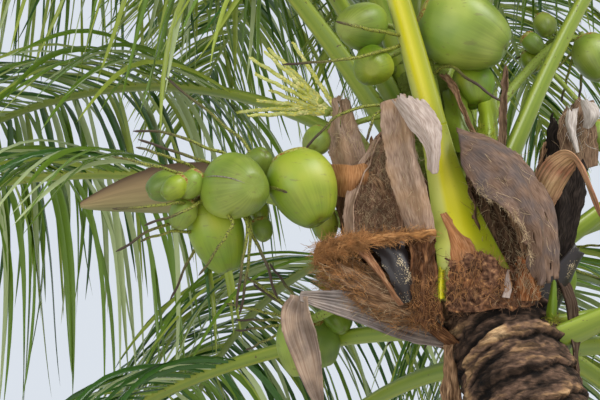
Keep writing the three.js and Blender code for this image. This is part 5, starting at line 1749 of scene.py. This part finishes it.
def husk_table(husk, seed):
    """Points of a husk, in rows along it and columns across, with furrows and crumples."""
    t = np.linspace(0, 1, CLOTH_ROWS + 1)
    x = np.linspace(-0.5, 0.5, CLOTH_COLUMNS + 1)
    line = through([*husk.get("seat", ()), *(seen_at(*place) for place in husk["shows"])], t)
    along = unit(np.gradient(line, axis=0))
    face = np.array(husk["face"], float)
    normal = unit(face - along * (along @ face)[:, None])
    across = np.cross(along, normal)
    end = husk.get("end", 0.985)  # less than 1 leaves the tip blunt
    swell = np.maximum(husk["foot"] * (1 - t), np.sin(math.pi * mix(0.12, end, t)) ** 0.8)[:, None]
    flat = np.stack(np.broadcast_arrays(x * husk["width"] * swell, 0.4 * t[:, None], 0 * swell), axis=-1)
    streaks = lumps(flat * [1, 0.2, 1], 0.012, seed).reshape(len(t), len(x))
    furrow = husk.get("furrow", 1) * (0.0016 * np.sin(x * FURROWS * 2 * math.pi + seed) + 0.004 * streaks)
    curl = 0.012 * lumps(flat, 0.06, seed + 1).reshape(len(t), len(x))
    bow = (4 * x**2 - 0.5) * husk["hollow"] * swell + furrow + curl * (0.3 + np.abs(x))
    return (
        line[:, None]
        + across[:, None] * (x * husk["width"] * swell)[:, :, None]
        + normal[:, None] * bow[:, :, None]
    )


def weathered_husk(name, dark, mid, pale):
    """Dead spathe or leaf base: woody and papery, quite matt, furrowed lengthwise and sun bleached."""
    husk = finish_of(name, mid, 0.85, Specular_IOR_Level=0.2)
    surface = add_node(husk, "TexCoord").outputs
    # furrows 3 mm wide and 10 cm long
    stops = [(0.3, dark), (0.5, mid), (0.7, pale)]
    grain, colour = patchy(husk, surface["UV"], (300, 9, 1), 4, stops)
    # stains of several centimetres
    stops = [(0.35, "#4f4a46"), (0.5, "#808080"), (0.66, "#b4b0a8")]
    _, tone = patchy(husk, surface["Object"], 13, 4, stops)
    shaded = add_node(husk, "Mix", {**OVERLAY, 0: 0.75}, {6: colour, 7: tone})
    bump = add_node(husk, "Bump", {"Strength": 0.6, "Distance": 0.002}, {"Height": grain})
    to_shader(husk, Base_Color=shaded, Normal=bump)
    return husk


def smooth_spathe():
    """A fresh woody spathe: smooth and faintly satin, brown along its upper edge and green-tan below."""
    spathe = finish_of("smooth_brown_spathe", "#86704a", 0.6, Specular_IOR_Level=0.3)
    surface = add_node(spathe, "TexCoord").outputs
    # the UV map is in metres, and its first number goes down the spathe's width
    down = add_node(spathe, "SeparateXYZ", {}, {0: surface["UV"]})
    whole = {"operation": "DIVIDE", 1: HUSKS["spathe_main"]["width"]}
    share = add_node(spathe, "Math", whole, {0: down})
    stops = [(0.04, "#54402c"), (0.2, "#8a7350"), (0.55, "#9c8c62"), (0.95, "#8f9060")]
    colour = add_node(spathe, "ValToRGB", {"stops": stops}, {"Fac": share})
    lay = add_node(spathe, "Mapping", {"Scale": (90, 6, 1)}, {"Vector": surface["UV"]})
    grain = add_node(spathe, "TexNoise", {"Scale": 1, "Detail": 3}, {"Vector": lay})
    shaded = add_node(spathe, "Mix", {**OVERLAY, 0: 0.35}, {6: colour, 7: grain})
    to_shader(spathe, Base_Color=shaded)
    return spathe


HUSK_FINISHES = {
    "spathe_main": smooth_spathe(),
    "husk_low": weathered_husk("grey_husk", "#85756d", "#a99a92", "#cbc0b9"),
    "husk_hanging": weathered_husk("dun_husk", "#957c6a", "#ae9684", "#c6b2a2"),
    "husk_right": weathered_husk("tan_husk", "#a5805a", "#c6a27a", "#dfc29a"),
    "husk_trailing": weathered_husk("brown_husk", "#3d2d24", "#755c4b", "#a28a76"),
}
for number, (name, husk) in enumerate(HUSKS.items()):
    seed = 50 + 3 * number
    piece = cloth_piece(f"dry_{name}", husk_table(husk, seed), seed, **WHOLE, side=0.012, ragged=0)
    settle(piece, HUSK_FINISHES[name], "dry_husk", name)


# Spear
# The youngest leaf is still closed: a tapering rod of tightly folded leaflets, ridged lengthwise.

SPEAR = {"at": 4.2, "azimuth": 200, "lean": 4, "droop": 10, "length": 1.5}
SPEAR_FOOT, SPEAR_TIP = 0.024, 0.003
SPEAR_SIDES, SPEAR_ROWS, SPEAR_RIDGES = 42, 90, 7
spear_line = arc(
    trunk_point(np.array(SPEAR["at"])), SPEAR["azimuth"], SPEAR["lean"], SPEAR["droop"], SPEAR["length"], 1
)


def spear_points(u, v):
    row = np.round(v * SPEAR_ROWS)
    t = np.clip((row - 1) / (SPEAR_ROWS - 2), 0, 1)
    closed = np.where((row > 0) & (row < SPEAR_ROWS), 1, 0)
    turn = u * 2 * math.pi
    ridge = 1 - 0.14 * np.abs(np.sin(SPEAR_RIDGES * turn / 2 + 2.5 * t))
    radius = mix(SPEAR_FOOT, SPEAR_TIP, t) * ridge * closed
    top = -np.cross(spear_line["across"], spear_line["along"](t))
    return (
        spear_line["point"](t)
        + spear_line["across"] * (np.cos(turn) * radius)[:, None]
        + top * (np.sin(turn) * radius)[:, None]
    )


settle(
    grid_piece("spear_leaf", SPEAR_SIDES, SPEAR_ROWS, spear_points, rolled=True),
    waxy_rib("pale_spear_skin", "#c3cf7e", "#a3b85c", "#dfe0a4"),
    "leaf_green",
    "spear",
)
